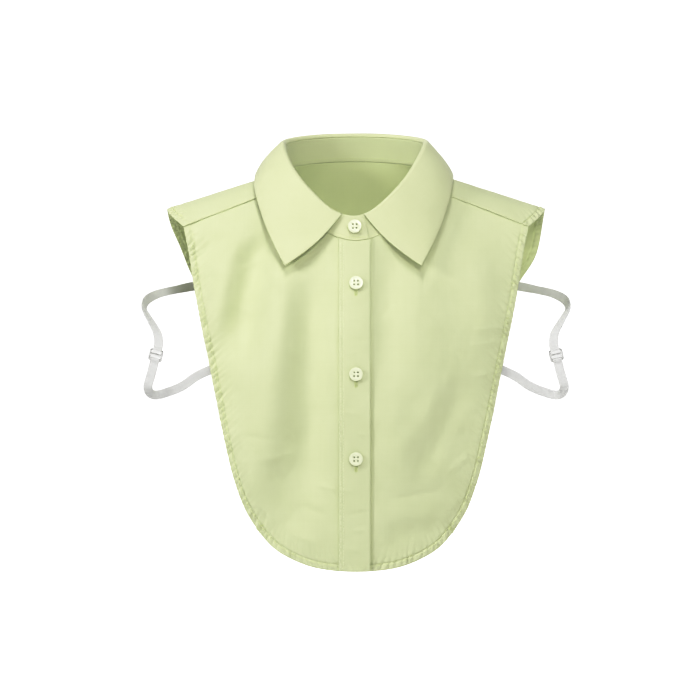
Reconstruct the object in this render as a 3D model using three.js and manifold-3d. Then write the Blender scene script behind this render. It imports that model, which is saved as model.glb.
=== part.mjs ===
// Bib collar: a detachable shirt collar with a short buttoned front and back, held by two elastic
// side straps. Millimetres, +Z up, the front faces -Y. The origin is in the middle of the neck, at
// the height of the points where the shoulders meet the neck seam. Right and left are the wearer's.
import * as THREE from 'three';
import { mergeVertices } from 'three/addons/utils/BufferGeometryUtils.js';
import Module from 'manifold-3d';

const wasm = await Module();
wasm.setup();

// Cloth and clearances
const CLOTH = 1.0;                // wall of the fronts and the back, with the hem's layers evened out
const PLACKET_WALL = 1.3;         // the button band is folded cloth
const COLLAR_WALL = 1.6;          // stand and leaf are two cloths with a stiffener between
const GAP = 0.3;                  // clearance between pieces that are sewn or lie on each other
const SEAM_GAP = 0.6;             // between two edges sewn together

// Neck seam
const NECK_HALF_WIDTH = 68;
const NECK_FRONT_REACH = 66;
const NECK_BACK_REACH = 50;
const NECK_FRONT_DROP = 64;
const NECK_BACK_RISE = 10;
const NECK_FRONT_SWEEP = 1.6;     // how late the seam dips on its way to the front

// Collar
const STAND_HEIGHT_BACK = 21.5;
const STAND_HEIGHT_FRONT = 24;
const STAND_LEAN = 4;             // how far the top of the stand leans in to the neck
const STAND_OVERLAP = 11.5;       // each end runs this far past the centre
const STAND_END_RADIUS = 9;
const ROLL_RADIUS = 2.3;          // half of the fold between stand and leaf
const LEAF_GAP_HALF = 11;         // from the centre to the front end of the leaf
const POINT_OUT = 62.5;           // the tip of the leaf, from the centre
const POINT_DROP = 86.5;
const POINT_LIFT = 7;             // the tip stands this far off the chest
const LEAF_SHOULDER_OUT = 91;     // where the leaf's edge crosses the shoulder
const LEAF_SHOULDER_LIFT = 3.4;   // above the ridge, to the middle of the leaf's wall
const LEAF_SEAT = 0.8;            // clearance where the leaf is sewn to the stand
const LEAF_SWELL = 3;             // how far the leaf rounds out between its fold and its edge
const LEAF_BOW = 3.5;             // how far the leaf's front edge bows towards the centre
const LEAF_BACK_REACH = 64;
const LEAF_BACK_DROP = 10;

// Shoulders and bodies
const SHOULDER_HALF_WIDTH = 174;
const SHOULDER_DROP = 34;
const SEAM_FORWARD = 24;          // the shoulder seam lies in front of the shoulder's ridge
const SEAM_OUTER_DROP = 50.5;
const CHEST_DEPTH = 92;           // farthest forward the front hangs
const CHEST_WRAP = 35;            // how far the front's side edge lies behind its middle
const BIB_HALF_WIDTH = 148;       // half width of the front at the upper straps
const BIB_DROP = 366;             // bottom of the front
const BACK_DEPTH = 62;
const BACK_DROP = 222;            // bottom of the back, hidden behind the front
const BACK_BULGE = 9;

// Button band and buttons
const PLACKET_WIDTH = 29;
const PLACKET_OVER = 13;          // free edge of the band, past the centre
const EDGE_UNDER_BAND = 8;        // the right front ends this far short of the centre, under the band
const BUTTON_DIAMETER = 14;
const BUTTON_THICKNESS = 2.4;
const BUTTON_RIM = 1.7;           // width of the raised rim
const BUTTON_DISH = 0.7;          // depth of the dish inside the rim
const BUTTON_HOLE = 1.7;
const BUTTON_HOLE_PITCH = 3.4;
const BUTTON_SHANK = 0.6;         // length of thread between a button and its cloth
const STAND_BUTTON_DROP = 51;     // height of the button on the stand
const BAND_BUTTON_DROPS = [103, 186, 263];

// Straps and sliders
const STRAP_WIDTH = 8.3;
const STRAP_WALL = 0.8;
const STRAP_REACH = 46.5;         // how far the strap's loop stands out past the front
const STRAP_TUCK = 10;            // length of strap sewn on behind each edge
const STRAP_BACK_DROP = 104.5;    // where the strap leaves the back
const STRAP_FRONT_DROP = 181.5;   // and where it meets the front
const SLIDER_WIDTH = 12.6;
const SLIDER_HEIGHT = 10.6;
const SLIDER_BAR = 1.5;
const SLIDER_WALL = 1.2;
const SLIDER_CORNER = 2.2;

// Side and hem of the front: way along the edge, half width as a share of BIB_HALF_WIDTH, drop as a
// share of the stretch from the shoulder seam to the bottom. The last row is past the centre.
const BIB_EDGE = [
  [0.000, 1.071, 0.000],
  [0.064, 1.036, 0.078],
  [0.152, 1.000, 0.184],
  [0.355, 0.895, 0.429],
  [0.558, 0.786, 0.674],
  [0.627, 0.737, 0.756],
  [0.698, 0.665, 0.837],
  [0.780, 0.538, 0.919],
  [0.838, 0.413, 0.960],
  [0.909, 0.239, 0.990],
  [1.000, 0.000, 1.000],
  [1.091, -0.239, 0.990],
];
const BIB_CORNER = 0.74;          // way along the edge where the side turns into the hem

// Hang of the front down its middle: share of the way from the neck seam to the bottom, reach as a
// share of the way from the neck to the full chest depth.
const CHEST_PROFILE = [
  [-0.25, -0.72],
  [0.00, 0.00],
  [0.14, 0.46],
  [0.29, 0.84],
  [0.46, 1.00],
  [0.66, 0.97],
  [0.85, 0.87],
  [1.00, 0.76],
];

// Drape folds of the fronts, a row each: both ends across (shares of BIB_HALF_WIDTH) and down
// (shares of BIB_DROP), width (share of BIB_HALF_WIDTH) and rise in mm, a valley below zero.
const DRAPE = [
  [-0.66, 0.17, -0.90, 0.36, 0.070, 1.8],
  [-0.62, 0.24, -0.87, 0.42, 0.075, -2.2],
  [-0.46, 0.30, -0.78, 0.55, 0.120, 3.2],
  [-0.74, 0.58, -0.60, 0.78, 0.120, 2.0],
  [-0.36, 0.36, -0.42, 0.80, 0.130, -2.8],
  [-0.14, 0.40, -0.17, 0.84, 0.090, 1.6],
  [0.42, 0.30, 0.22, 0.56, 0.120, 2.2],
  [0.66, 0.24, 0.70, 0.46, 0.110, 1.5],
  [0.60, 0.56, 0.36, 0.78, 0.110, -2.4],
  [0.78, 0.60, 0.62, 0.84, 0.120, 2.2],
  [0.20, 0.92, 0.56, 0.90, 0.060, -1.6],
];

// Free edge of the back from shoulder tip to the middle of its hem: share of the neck seam's turn
// from the shoulder seam to the centre back, half width as a share of SHOULDER_HALF_WIDTH, depth as a
// share of BACK_DEPTH, drop as a share of the way from the tip to the bottom.
const BACK_EDGE = [
  [0.19, 1.000, 0.03, 0.000],
  [0.30, 0.990, 0.26, 0.055],
  [0.38, 0.972, 0.44, 0.122],
  [0.46, 0.926, 0.62, 0.247],
  [0.54, 0.863, 0.73, 0.356],
  [0.62, 0.785, 0.81, 0.500],
  [0.70, 0.690, 0.88, 0.662],
  [0.79, 0.540, 0.94, 0.820],
  [0.89, 0.300, 0.98, 0.950],
  [1.00, 0.000, 1.00, 1.000],
  [1.11, -0.300, 0.98, 0.950],
];

// Free edge of the leaf: share of its turn from the front end to the centre back, then its place
// across, forward and up as shares of the way to the anchor named beside it.
const LEAF_EDGE_FRONT = [
  [0.00, 0.00, 0.00, 0.00],
  [0.10, 0.35, 0.20, 0.23],
  [0.20, 0.67, 0.38, 0.49],
  [0.29, 0.91, 0.56, 0.75],
  [0.37, 1.00, 0.77, 0.92],
  [0.45, 1.00, 1.00, 1.00],
];
const LEAF_EDGE_BACK = [
  [0.45, 1.00, 0.00, 0.00],
  [0.56, 0.90, 0.36, 0.02],
  [0.70, 0.68, 0.70, 0.30],
  [0.85, 0.36, 0.93, 0.76],
  [1.00, 0.00, 1.00, 1.00],
  [1.15, -0.36, 0.93, 0.76],
];

// Route of a strap from the back's edge to the front's edge, chosen by hand: out past the front as a
// share of STRAP_REACH, forward and down as shares of the way from the back's edge to the front's,
// then the direction across the strap as (inward, backward, up).
const STRAP_ROUTE = [
  [0.36, 0.13, 0.04, 0.10, 0.42, -0.90],
  [0.72, 0.30, 0.09, 0.18, 0.60, -0.78],
  [0.92, 0.44, 0.15, 0.36, 0.74, -0.56],
  [1.00, 0.58, 0.23, 0.46, 0.86, -0.25],
  [0.96, 0.71, 0.32, 0.47, 0.86, -0.02],
  [0.84, 0.83, 0.44, 0.58, 0.78, 0.22],
  [0.72, 0.93, 0.58, 0.88, 0.36, 0.14],
  [0.70, 0.98, 0.70, 0.98, 0.00, -0.18],
  [0.75, 1.02, 0.83, 0.98, 0.00, -0.20],
  [0.80, 1.06, 0.96, 0.97, 0.00, -0.22],
  [0.86, 1.09, 1.10, 0.97, 0.00, -0.24],
  [0.90, 1.10, 1.23, 0.97, 0.00, -0.24],
  [0.885, 1.075, 1.30, 0.70, 0.00, -0.71],
  [0.80, 1.045, 1.325, 0.28, 0.00, -0.96],
  [0.70, 1.03, 1.32, 0.07, 0.00, -1.00],
  [0.54, 1.02, 1.29, 0.26, 0.00, -0.97],
  [0.24, 1.01, 1.20, 0.48, 0.00, -0.88],
  [-0.05, 1.00, 1.08, 0.48, 0.00, -0.88],
];
const SLIDER_ROW = 8;             // the row of STRAP_ROUTE where the slider sits

// Grids of the cloth walls
const FRONT_NECK_COLUMNS = 6;
const FRONT_SEAM_COLUMNS = 7;
const FRONT_ROWS = 25;
const BACK_COLUMNS = 40;
const BACK_ROWS = 11;
const STAND_COLUMNS = 56;
const LEAF_COLUMNS = 44;
const ROLL_ROWS = 4;
const LEAF_FALL_ROWS = 5;
const PLACKET_ROWS = 25;
const STRAP_STEPS = 104;

const cloth = () => new THREE.MeshStandardMaterial({ color: 0xdde5b5, roughness: 0.82, metalness: 0 });
const elastic = () => new THREE.MeshStandardMaterial({ color: 0xe4e4df, roughness: 0.8, metalness: 0 });
const plastic = () => new THREE.MeshStandardMaterial({ color: 0xdcdcd6, roughness: 0.35, metalness: 0 });
const buttonShell = () => new THREE.MeshStandardMaterial({ color: 0xf3fad7, roughness: 0.3, metalness: 0 });

const mix = THREE.MathUtils.lerp;

// The other columns of a table at a place in its first column, on a smooth curve through the rows.
function readTable(table, place) {
  const last = table.length - 1;
  let row = 0;
  while (row < last - 1 && place > table[row + 1][0]) row += 1;
  const before = table[Math.max(row - 1, 0)];
  const start = table[row];
  const end = table[row + 1];
  const after = table[Math.min(row + 2, last)];
  const span = end[0] - start[0];
  const f = (place - start[0]) / span;
  return start.slice(1).map((value, column) => {
    const k = column + 1;
    const startSlope = span * (end[k] - before[k]) / (end[0] - before[0]);
    const endSlope = span * (after[k] - start[k]) / (after[0] - start[0]);
    return (2 * f ** 3 - 3 * f ** 2 + 1) * value + (f ** 3 - 2 * f ** 2 + f) * startSlope
      + (3 * f ** 2 - 2 * f ** 3) * end[k] + (f ** 3 - f ** 2) * endSlope;
  });
}

// A place on the straight pieces between the rows of a two-column table.
function evenOut(table, share) {
  const next = Math.max(table.findIndex((row) => row[0] >= share), 1);
  const [start, end] = [table[next - 1], table[next]];
  return mix(start[1], end[1], (share - start[0]) / (end[0] - start[0]));
}

// The place between low and high up to which isBefore holds, by halving.
function placeWhere(isBefore, low, high) {
  for (let i = 0; i < 30; i += 1) {
    const middle = (low + high) / 2;
    if (isBefore(middle)) low = middle;
    else high = middle;
  }
  return low;
}

// A closed wall on a surface(across, down), from a box whose flat grid is laid on the surface.
function wallOn(surface, columns, rows, thickness) {
  const box = new THREE.BoxGeometry(1, 1, 1, columns, 1, rows);
  box.deleteAttribute('normal');
  box.deleteAttribute('uv');
  const geometry = mergeVertices(box);
  const places = geometry.getAttribute('position');
  for (let i = 0; i < places.count; i += 1) {
    const across = THREE.MathUtils.clamp(places.getX(i) + 0.5, 0, 1);
    const down = THREE.MathUtils.clamp(places.getZ(i) + 0.5, 0, 1);
    const point = surface(across, down);
    point.addScaledVector(normalOf(surface, across, down), places.getY(i) * thickness);
    places.setXYZ(i, point.x, point.y, point.z);
  }
  return facingOut(geometry);
}

function normalOf(surface, across, down) {
  const step = 0.002;
  const left = surface(Math.max(across - step, 0), down);
  const right = surface(Math.min(across + step, 1), down);
  const upper = surface(across, Math.max(down - step, 0));
  const lower = surface(across, Math.min(down + step, 1));
  return right.sub(left).cross(lower.sub(upper)).normalize();
}

// Turns the faces of a closed geometry outward.
function facingOut(geometry) {
  const places = geometry.getAttribute('position');
  const index = geometry.getIndex().array;
  const corners = [0, 1, 2].map(() => new THREE.Vector3());
  let volume = 0;
  for (let i = 0; i < index.length; i += 3) {
    corners.forEach((corner, k) => corner.fromBufferAttribute(places, index[i + k]));
    volume += corners[0].dot(corners[1].clone().cross(corners[2]));
  }
  if (volume < 0) {
    for (let i = 0; i < index.length; i += 3) {
      [index[i + 1], index[i + 2]] = [index[i + 2], index[i + 1]];
    }
  }
  geometry.computeVertexNormals();
  return geometry;
}

// Neck seam at an angle from the centre back, positive to the wearer's left.
function neckSeam(angle) {
  const back = Math.cos(angle);
  const reach = back > 0 ? NECK_BACK_REACH : NECK_FRONT_REACH;
  const height = back > 0 ? NECK_BACK_RISE * back : -NECK_FRONT_DROP * (-back) ** NECK_FRONT_SWEEP;
  return new THREE.Vector3(NECK_HALF_WIDTH * Math.sin(angle), reach * back, height);
}

function neckOutward(angle) {
  const reach = Math.cos(angle) > 0 ? NECK_BACK_REACH : NECK_FRONT_REACH;
  return new THREE.Vector3(Math.sin(angle) * reach, Math.cos(angle) * NECK_HALF_WIDTH, 0).normalize();
}

const NECK_SEAM_ANGLE = Math.acos(-SEAM_FORWARD / NECK_FRONT_REACH);

// Front pieces
function bibEdge(way) {
  const [out, down] = readTable(BIB_EDGE, way);
  const height = -mix(SEAM_OUTER_DROP, BIB_DROP, down);
  return new THREE.Vector2(BIB_HALF_WIDTH * out, height);
}

function wayAlongHem(out) {
  return placeWhere((way) => bibEdge(way).x > out, BIB_CORNER, 1);
}

function drapeRise(x, z) {
  return DRAPE.reduce((sum, [x0, z0, x1, z1, width, rise]) => {
    const start = new THREE.Vector2(x0 * BIB_HALF_WIDTH, -z0 * BIB_DROP);
    const run = new THREE.Vector2(x1 * BIB_HALF_WIDTH, -z1 * BIB_DROP).sub(start);
    const from = new THREE.Vector2(x, z).sub(start);
    const along = THREE.MathUtils.clamp(from.dot(run) / run.lengthSq(), 0, 1);
    const away = from.addScaledVector(run, -along).length() / (width * BIB_HALF_WIDTH);
    return sum + rise * Math.exp(-(away ** 2));
  }, 0);
}

// Middle of the fronts' cloth: how far back a point lies, seen from the front.
function chest(x, z) {
  const share = (-z - NECK_FRONT_DROP) / (BIB_DROP - NECK_FRONT_DROP);
  const [fullness] = readTable(CHEST_PROFILE, share);
  const reach = mix(NECK_FRONT_REACH, CHEST_DEPTH, fullness);
  const wrap = CHEST_WRAP * Math.abs(x / BIB_HALF_WIDTH) ** 2.2;
  return wrap - reach - drapeRise(x, z) * THREE.MathUtils.smoothstep(share, 0, 0.12);
}

// Top edge of a front: along the neck seam, then along the shoulder seam.
function frontTop(across, inner) {
  const corner = FRONT_NECK_COLUMNS / (FRONT_NECK_COLUMNS + FRONT_SEAM_COLUMNS);
  const nearCorner = NECK_SEAM_ANGLE + SEAM_GAP / 2 / NECK_FRONT_REACH;
  const nearCentre = Math.PI - Math.asin(inner / NECK_HALF_WIDTH);
  if (across < corner) return neckSeam(mix(nearCentre, nearCorner, across / corner));
  const start = neckSeam(nearCorner);
  const outer = bibEdge(SEAM_GAP / 2 / BIB_DROP);
  const end = new THREE.Vector3(outer.x, -SEAM_FORWARD - SEAM_GAP / 4, outer.y);
  return start.lerp(end, (across - corner) / (1 - corner));
}

function frontSurface(side, inner) {
  const foot = wayAlongHem(inner);
  const outer = frontTop(1, inner);
  const corner = bibEdge(BIB_CORNER);
  return (across, down) => {
    const top = frontTop(across, inner);
    const hem = bibEdge(mix(foot, BIB_CORNER, across));
    const edge = bibEdge(mix(SEAM_GAP / 2 / BIB_DROP, BIB_CORNER, down));
    const place = (t, h, e, o, c) => mix(t, h, down) + across * (e - mix(o, c, down));
    const x = place(top.x, hem.x, edge.x, outer.x, corner.x);
    const z = place(top.z, hem.y, edge.y, outer.z, corner.y);
    const pull = top.y - chest(side * top.x, top.z);
    return new THREE.Vector3(side * x, chest(side * x, z) + pull * (1 - down) ** 6, z);
  };
}

const BAND_UNDER = PLACKET_WIDTH - PLACKET_OVER;
const BAND_OFFSET = CLOTH / 2 + 2 * GAP + PLACKET_WALL / 2;

function placketSurface(across, down) {
  const x = mix(-BAND_UNDER, PLACKET_OVER, across);
  const top = neckSeam(Math.PI - Math.asin(x / NECK_HALF_WIDTH)).z;
  const bottom = bibEdge(wayAlongHem(Math.abs(x))).y;
  const z = mix(top, bottom, down);
  return new THREE.Vector3(x, chest(x, z) - BAND_OFFSET, z);
}

// Back piece: from the neck seam out to the armholes and down to its hem.
function backSurface(around, out) {
  const side = around < 0.5 ? -1 : 1;
  const turn = 1 - Math.abs(2 * around - 1);
  const seamAngle = NECK_SEAM_ANGLE - SEAM_GAP / 2 / NECK_FRONT_REACH;
  const inner = neckSeam(seamAngle * (1 - turn));
  const edge = backEdge(turn);
  const point = inner.lerp(edge, out);
  const fullness = BACK_BULGE * Math.sin(Math.PI * out) * THREE.MathUtils.smoothstep(turn, 0.2, 0.7);
  point.y += fullness * 0.8;
  point.z += fullness * 0.5;
  point.x *= side;
  return point;
}

function backEdge(turn) {
  const tip = BACK_EDGE[0];
  if (turn >= tip[0]) {
    const [out, back, down] = readTable(BACK_EDGE, turn);
    const height = -mix(SHOULDER_DROP, BACK_DROP, down);
    return new THREE.Vector3(SHOULDER_HALF_WIDTH * out, BACK_DEPTH * back, height);
  }
  const seamEnd = bibEdge(0);
  const start = new THREE.Vector3(seamEnd.x, SEAM_GAP / 4 - SEAM_FORWARD, seamEnd.y + SEAM_GAP / 4);
  const end = new THREE.Vector3(SHOULDER_HALF_WIDTH, BACK_DEPTH * tip[2], -SHOULDER_DROP);
  const f = turn / tip[0];
  const round = Math.sin(f * Math.PI / 2);
  return new THREE.Vector3(mix(start.x, end.x, round), mix(start.y, end.y, f), mix(start.z, end.z, round));
}

// Collar
const STAND_LAYER = (COLLAR_WALL + GAP) / 2;
const STAND_SEAT = CLOTH / 2 + 3 * GAP;
const STAND_TURN = Math.PI + Math.asin(STAND_OVERLAP / NECK_HALF_WIDTH);

// A place on the stand's cloth, up its height and out by a layer; the two ends lie on each other.
function standPoint(angle, rise, out = 0) {
  const frontShare = (1 - Math.cos(angle)) / 2;
  const fromEnd = (STAND_TURN - Math.abs(angle)) * NECK_HALF_WIDTH;
  const corner = Math.max(STAND_END_RADIUS - fromEnd, 0);
  const rounding = STAND_END_RADIUS - Math.sqrt(Math.max(STAND_END_RADIUS ** 2 - corner ** 2, 0));
  const height = mix(STAND_HEIGHT_BACK, STAND_HEIGHT_FRONT, frontShare) - rounding;
  const point = neckSeam(angle);
  point.z += STAND_SEAT + height * rise;
  const layer = -STAND_LAYER * angle / STAND_TURN;
  return point.addScaledVector(neckOutward(angle), layer + out - STAND_LEAN * rise);
}

// Share of the grid's steps against share of the stand's length: closer columns at the rounded ends.
const STAND_STEPS = [[0, 0], [0.1, 0.025], [0.9, 0.975], [1, 1]];

function standSurface(share, up) {
  const around = evenOut(STAND_STEPS, share);
  return standPoint(mix(STAND_TURN, -STAND_TURN, around), up);
}

const LEAF_TURN = Math.PI - Math.asin(LEAF_GAP_HALF / NECK_HALF_WIDTH);

function leafEdge(turn) {
  const pointTip = new THREE.Vector3(POINT_OUT, chest(POINT_OUT, -POINT_DROP) - POINT_LIFT, -POINT_DROP);
  const shoulderShare = (LEAF_SHOULDER_OUT - NECK_HALF_WIDTH) / (SHOULDER_HALF_WIDTH - NECK_HALF_WIDTH);
  const shoulderHeight = LEAF_SHOULDER_LIFT - SHOULDER_DROP * shoulderShare;
  const shoulder = new THREE.Vector3(LEAF_SHOULDER_OUT, 0, shoulderHeight);
  const nape = new THREE.Vector3(0, LEAF_BACK_REACH, -LEAF_BACK_DROP);
  const front = turn < LEAF_EDGE_BACK[0][0];
  const [out, along, up] = readTable(front ? LEAF_EDGE_FRONT : LEAF_EDGE_BACK, turn);
  if (front) {
    return new THREE.Vector3(
      mix(pointTip.x, shoulder.x, out),
      mix(pointTip.y, shoulder.y, along),
      mix(pointTip.z, shoulder.z, up),
    );
  }
  return new THREE.Vector3(shoulder.x * out, mix(shoulder.y, nape.y, along), mix(shoulder.z, nape.z, up));
}

function leafSurface(around, down) {
  const angle = mix(LEAF_TURN, -LEAF_TURN, around);
  const side = Math.sign(angle) || 1;
  const turn = 1 - Math.abs(angle) / LEAF_TURN;
  const outward = neckOutward(angle);
  const rollShare = ROLL_ROWS / (ROLL_ROWS + LEAF_FALL_ROWS);
  const root = standPoint(angle, 1);
  root.z += LEAF_SEAT;
  if (down <= rollShare) {
    const bend = Math.PI * down / rollShare;
    root.addScaledVector(outward, ROLL_RADIUS * (1 - Math.cos(bend)));
    root.z += ROLL_RADIUS * Math.sin(bend);
    return root;
  }
  const start = root.addScaledVector(outward, 2 * ROLL_RADIUS);
  const end = leafEdge(turn);
  end.x *= side;
  const straight = end.clone().sub(start).normalize();
  const bow = new THREE.Vector3(side * straight.z, 0, -side * straight.x);
  const control = start.clone().lerp(end, 0.5)
    .addScaledVector(outward, 2 * LEAF_SWELL * THREE.MathUtils.smoothstep(turn, 0, 0.3))
    .addScaledVector(bow, 2 * LEAF_BOW * (1 - THREE.MathUtils.smoothstep(turn, 0, 0.12)));
  const f = (down - rollShare) / (1 - rollShare);
  return start.multiplyScalar((1 - f) ** 2).addScaledVector(control, 2 * f * (1 - f)).addScaledVector(end, f ** 2);
}

// Buttons
function button() {
  const radius = BUTTON_DIAMETER / 2;
  const half = BUTTON_THICKNESS / 2;
  const round = BUTTON_THICKNESS / 4;
  const profile = [
    [0, -half],
    [radius - round, -half],
    [radius, -half + round],
    [radius, half - round],
    [radius - round, half],
    [radius - BUTTON_RIM, half],
    [radius - BUTTON_RIM - BUTTON_DISH, half - BUTTON_DISH],
    [0, half - BUTTON_DISH],
  ].map(([x, y]) => new THREE.Vector2(x, y));
  let solid = solidOf(new THREE.LatheGeometry(profile, 24));
  const reach = BUTTON_HOLE_PITCH / 2;
  for (const [x, z] of [[-reach, -reach], [-reach, reach], [reach, -reach], [reach, reach]]) {
    const drill = new THREE.CylinderGeometry(BUTTON_HOLE / 2, BUTTON_HOLE / 2, 2 * BUTTON_THICKNESS, 8);
    drill.translate(x, 0, z);
    solid = solid.subtract(solidOf(drill));
  }
  const cut = solid.getMesh();
  const geometry = new THREE.BufferGeometry();
  geometry.setAttribute('position', new THREE.BufferAttribute(cut.vertProperties, 3));
  geometry.setIndex(new THREE.BufferAttribute(cut.triVerts, 1));
  geometry.computeVertexNormals();
  return geometry.rotateX(Math.PI / 2);
}

function solidOf(geometry) {
  geometry.deleteAttribute('normal');
  geometry.deleteAttribute('uv');
  const merged = mergeVertices(geometry, 1e-4);
  return new wasm.Manifold(new wasm.Mesh({
    numProp: 3,
    vertProperties: merged.getAttribute('position').array,
    triVerts: new Uint32Array(merged.getIndex().array),
  }));
}

// Straps. Each end lies on the inner side of its panel, a tuck's length in from the edge.
const STRAP_SEAT = CLOTH / 2 + 3 * GAP + STRAP_WALL / 2;

// Inside the back at a share of the way out from the neck seam, at a height.
function insideBack(out, height) {
  const around = (turn) => 1 - turn / 2;
  const turn = placeWhere((t) => backSurface(around(t), out).z > height, BACK_EDGE[0][0], 1);
  const normal = normalOf(backSurface, around(turn), out);
  const seat = -Math.sign(normal.y) * STRAP_SEAT;
  return backSurface(around(turn), out).addScaledVector(normal, seat);
}

function insideFront(side, x, z) {
  const step = 0.5;
  const slopeX = (chest(side * (x + step), z) - chest(side * (x - step), z)) / (2 * step);
  const slopeZ = (chest(side * x, z + step) - chest(side * x, z - step)) / (2 * step);
  const normal = new THREE.Vector3(-slopeX, 1, -slopeZ).normalize();
  return new THREE.Vector3(x, chest(side * x, z), z).addScaledVector(normal, STRAP_SEAT);
}

// A line down the middle of the elastic, with the direction across it at each point.
function strapLine(side) {
  const tuckShare = STRAP_TUCK / SHOULDER_HALF_WIDTH;
  const start = insideBack(1, -STRAP_BACK_DROP);
  const leave = insideBack(1 - tuckShare, -STRAP_BACK_DROP);
  const endOut = bibEdge(placeWhere((way) => bibEdge(way).y > -STRAP_FRONT_DROP, 0, BIB_CORNER)).x;
  const end = insideFront(side, endOut, -STRAP_FRONT_DROP);
  const arrive = insideFront(side, endOut - STRAP_TUCK, -STRAP_FRONT_DROP + STRAP_TUCK * 0.4);
  const endAcross = insideFront(side, endOut + 0.4, -STRAP_FRONT_DROP - 1).sub(end);
  const points = [leave, start];
  const widths = [new THREE.Vector3(0, 0.1, -1), new THREE.Vector3(0, 0.1, -1)];
  for (const [out, forward, down, inward, backward, up] of STRAP_ROUTE) {
    const x = BIB_HALF_WIDTH + STRAP_REACH * out;
    points.push(new THREE.Vector3(x, mix(start.y, end.y, forward), mix(start.z, end.z, down)));
    widths.push(new THREE.Vector3(-inward, backward, up));
  }
  points.push(end, arrive);
  widths.push(endAcross, endAcross.clone());
  for (const vector of [...points, ...widths]) vector.x *= side;
  const line = new THREE.CatmullRomCurve3(points);
  line.arcLengthDivisions = 2000;
  return { line, widths, sliderPlace: (SLIDER_ROW + 2) / (points.length - 1) };
}

// How far the strap weaves to the back of the slider's outer bars and to the front of its middle bar.
const WEAVE = SLIDER_WALL / 2 + STRAP_WALL / 2 + 2.5 * GAP;
const BAR_PITCH = (SLIDER_HEIGHT - SLIDER_BAR) / 2;

// More of the strap's steps lie in this many bar pitches on each side of the slider.
const WEAVE_REACH = 2;

function weaveAt(distance) {
  const away = Math.abs(distance) / BAR_PITCH;
  if (away < 1) return -WEAVE * Math.cos(Math.PI * away);
  if (away < 2) return WEAVE * (1 + Math.cos(Math.PI * (away - 1))) / 2;
  return 0;
}

function frameOn(strap, place) {
  const { line, widths } = strap;
  const step = 1 / (widths.length - 1);
  const index = Math.min(Math.floor(place / step), widths.length - 2);
  const across = widths[index].clone().lerp(widths[index + 1], place / step - index);
  const along = line.getTangent(place);
  across.addScaledVector(along, -across.dot(along)).normalize();
  return { middle: line.getPoint(place), along, across, face: new THREE.Vector3().crossVectors(along, across) };
}

function strapSurface(side) {
  const strap = strapLine(side);
  const length = strap.line.getLength();
  const lengths = strap.line.getLengths();
  const sliderAt = lengths[Math.round(strap.sliderPlace * (lengths.length - 1))] / length;
  const reach = WEAVE_REACH * BAR_PITCH / length;
  const steps = [[0, 0], [0.3, sliderAt - reach], [0.5, sliderAt + reach], [1, 1]];
  return (across, share) => {
    const along = evenOut(steps, share);
    const frame = frameOn(strap, strap.line.getUtoTmapping(along));
    const lift = -side * weaveAt((along - sliderAt) * length);
    return frame.middle
      .addScaledVector(frame.across, (across - 0.5) * STRAP_WIDTH)
      .addScaledVector(frame.face, lift);
  };
}

function slider() {
  const frame = roundedOutline(new THREE.Shape(), SLIDER_WIDTH, SLIDER_HEIGHT, SLIDER_CORNER, 0);
  const slotWidth = STRAP_WIDTH + 3 * GAP;
  const slotHeight = BAR_PITCH - SLIDER_BAR;
  for (const side of [-1, 1]) {
    const slot = roundedOutline(new THREE.Path(), slotWidth, slotHeight, GAP, side * BAR_PITCH / 2);
    frame.holes.push(slot);
  }
  const geometry = new THREE.ExtrudeGeometry(frame, { depth: SLIDER_WALL, bevelEnabled: false, curveSegments: 3 });
  return geometry.translate(0, 0, -SLIDER_WALL / 2);
}

function roundedOutline(path, width, height, radius, y) {
  const right = width / 2;
  const top = y + height / 2;
  const bottom = y - height / 2;
  path.moveTo(-right + radius, bottom);
  path.lineTo(right - radius, bottom);
  path.absarc(right - radius, bottom + radius, radius, -Math.PI / 2, 0);
  path.lineTo(right, top - radius);
  path.absarc(right - radius, top - radius, radius, 0, Math.PI / 2);
  path.lineTo(-right + radius, top);
  path.absarc(-right + radius, top - radius, radius, Math.PI / 2, Math.PI);
  path.lineTo(-right, bottom + radius);
  path.absarc(-right + radius, bottom + radius, radius, Math.PI, Math.PI * 1.5);
  return path;
}

// Assembly
const group = new THREE.Group();

function add(name, geometry, material) {
  const mesh = new THREE.Mesh(geometry, material);
  mesh.name = name;
  group.add(mesh);
  return mesh;
}

add('collar_stand', wallOn(standSurface, STAND_COLUMNS, 2, COLLAR_WALL), cloth());
add('collar_leaf', wallOn(leafSurface, LEAF_COLUMNS, ROLL_ROWS + LEAF_FALL_ROWS, COLLAR_WALL), cloth());
add('back_panel', wallOn(backSurface, BACK_COLUMNS, BACK_ROWS, CLOTH), cloth());

const frontColumns = FRONT_NECK_COLUMNS + FRONT_SEAM_COLUMNS;
const underEdge = EDGE_UNDER_BAND - 2 * SEAM_GAP;
add('front_right', wallOn(frontSurface(-1, EDGE_UNDER_BAND), frontColumns, FRONT_ROWS, CLOTH), cloth());
add('front_left', wallOn(frontSurface(1, -underEdge), frontColumns, FRONT_ROWS, CLOTH), cloth());
add('placket', wallOn(placketSurface, 4, PLACKET_ROWS, PLACKET_WALL), cloth());

// Buttons: the first on the stand, the others down the band, each facing away from its cloth.
function placeButton(name, seat, normal) {
  const mesh = add(name, button(), buttonShell());
  mesh.quaternion.setFromUnitVectors(new THREE.Vector3(0, 0, 1), normal);
  mesh.position.copy(seat).addScaledVector(normal, BUTTON_SHANK + BUTTON_THICKNESS / 2);
}

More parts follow.
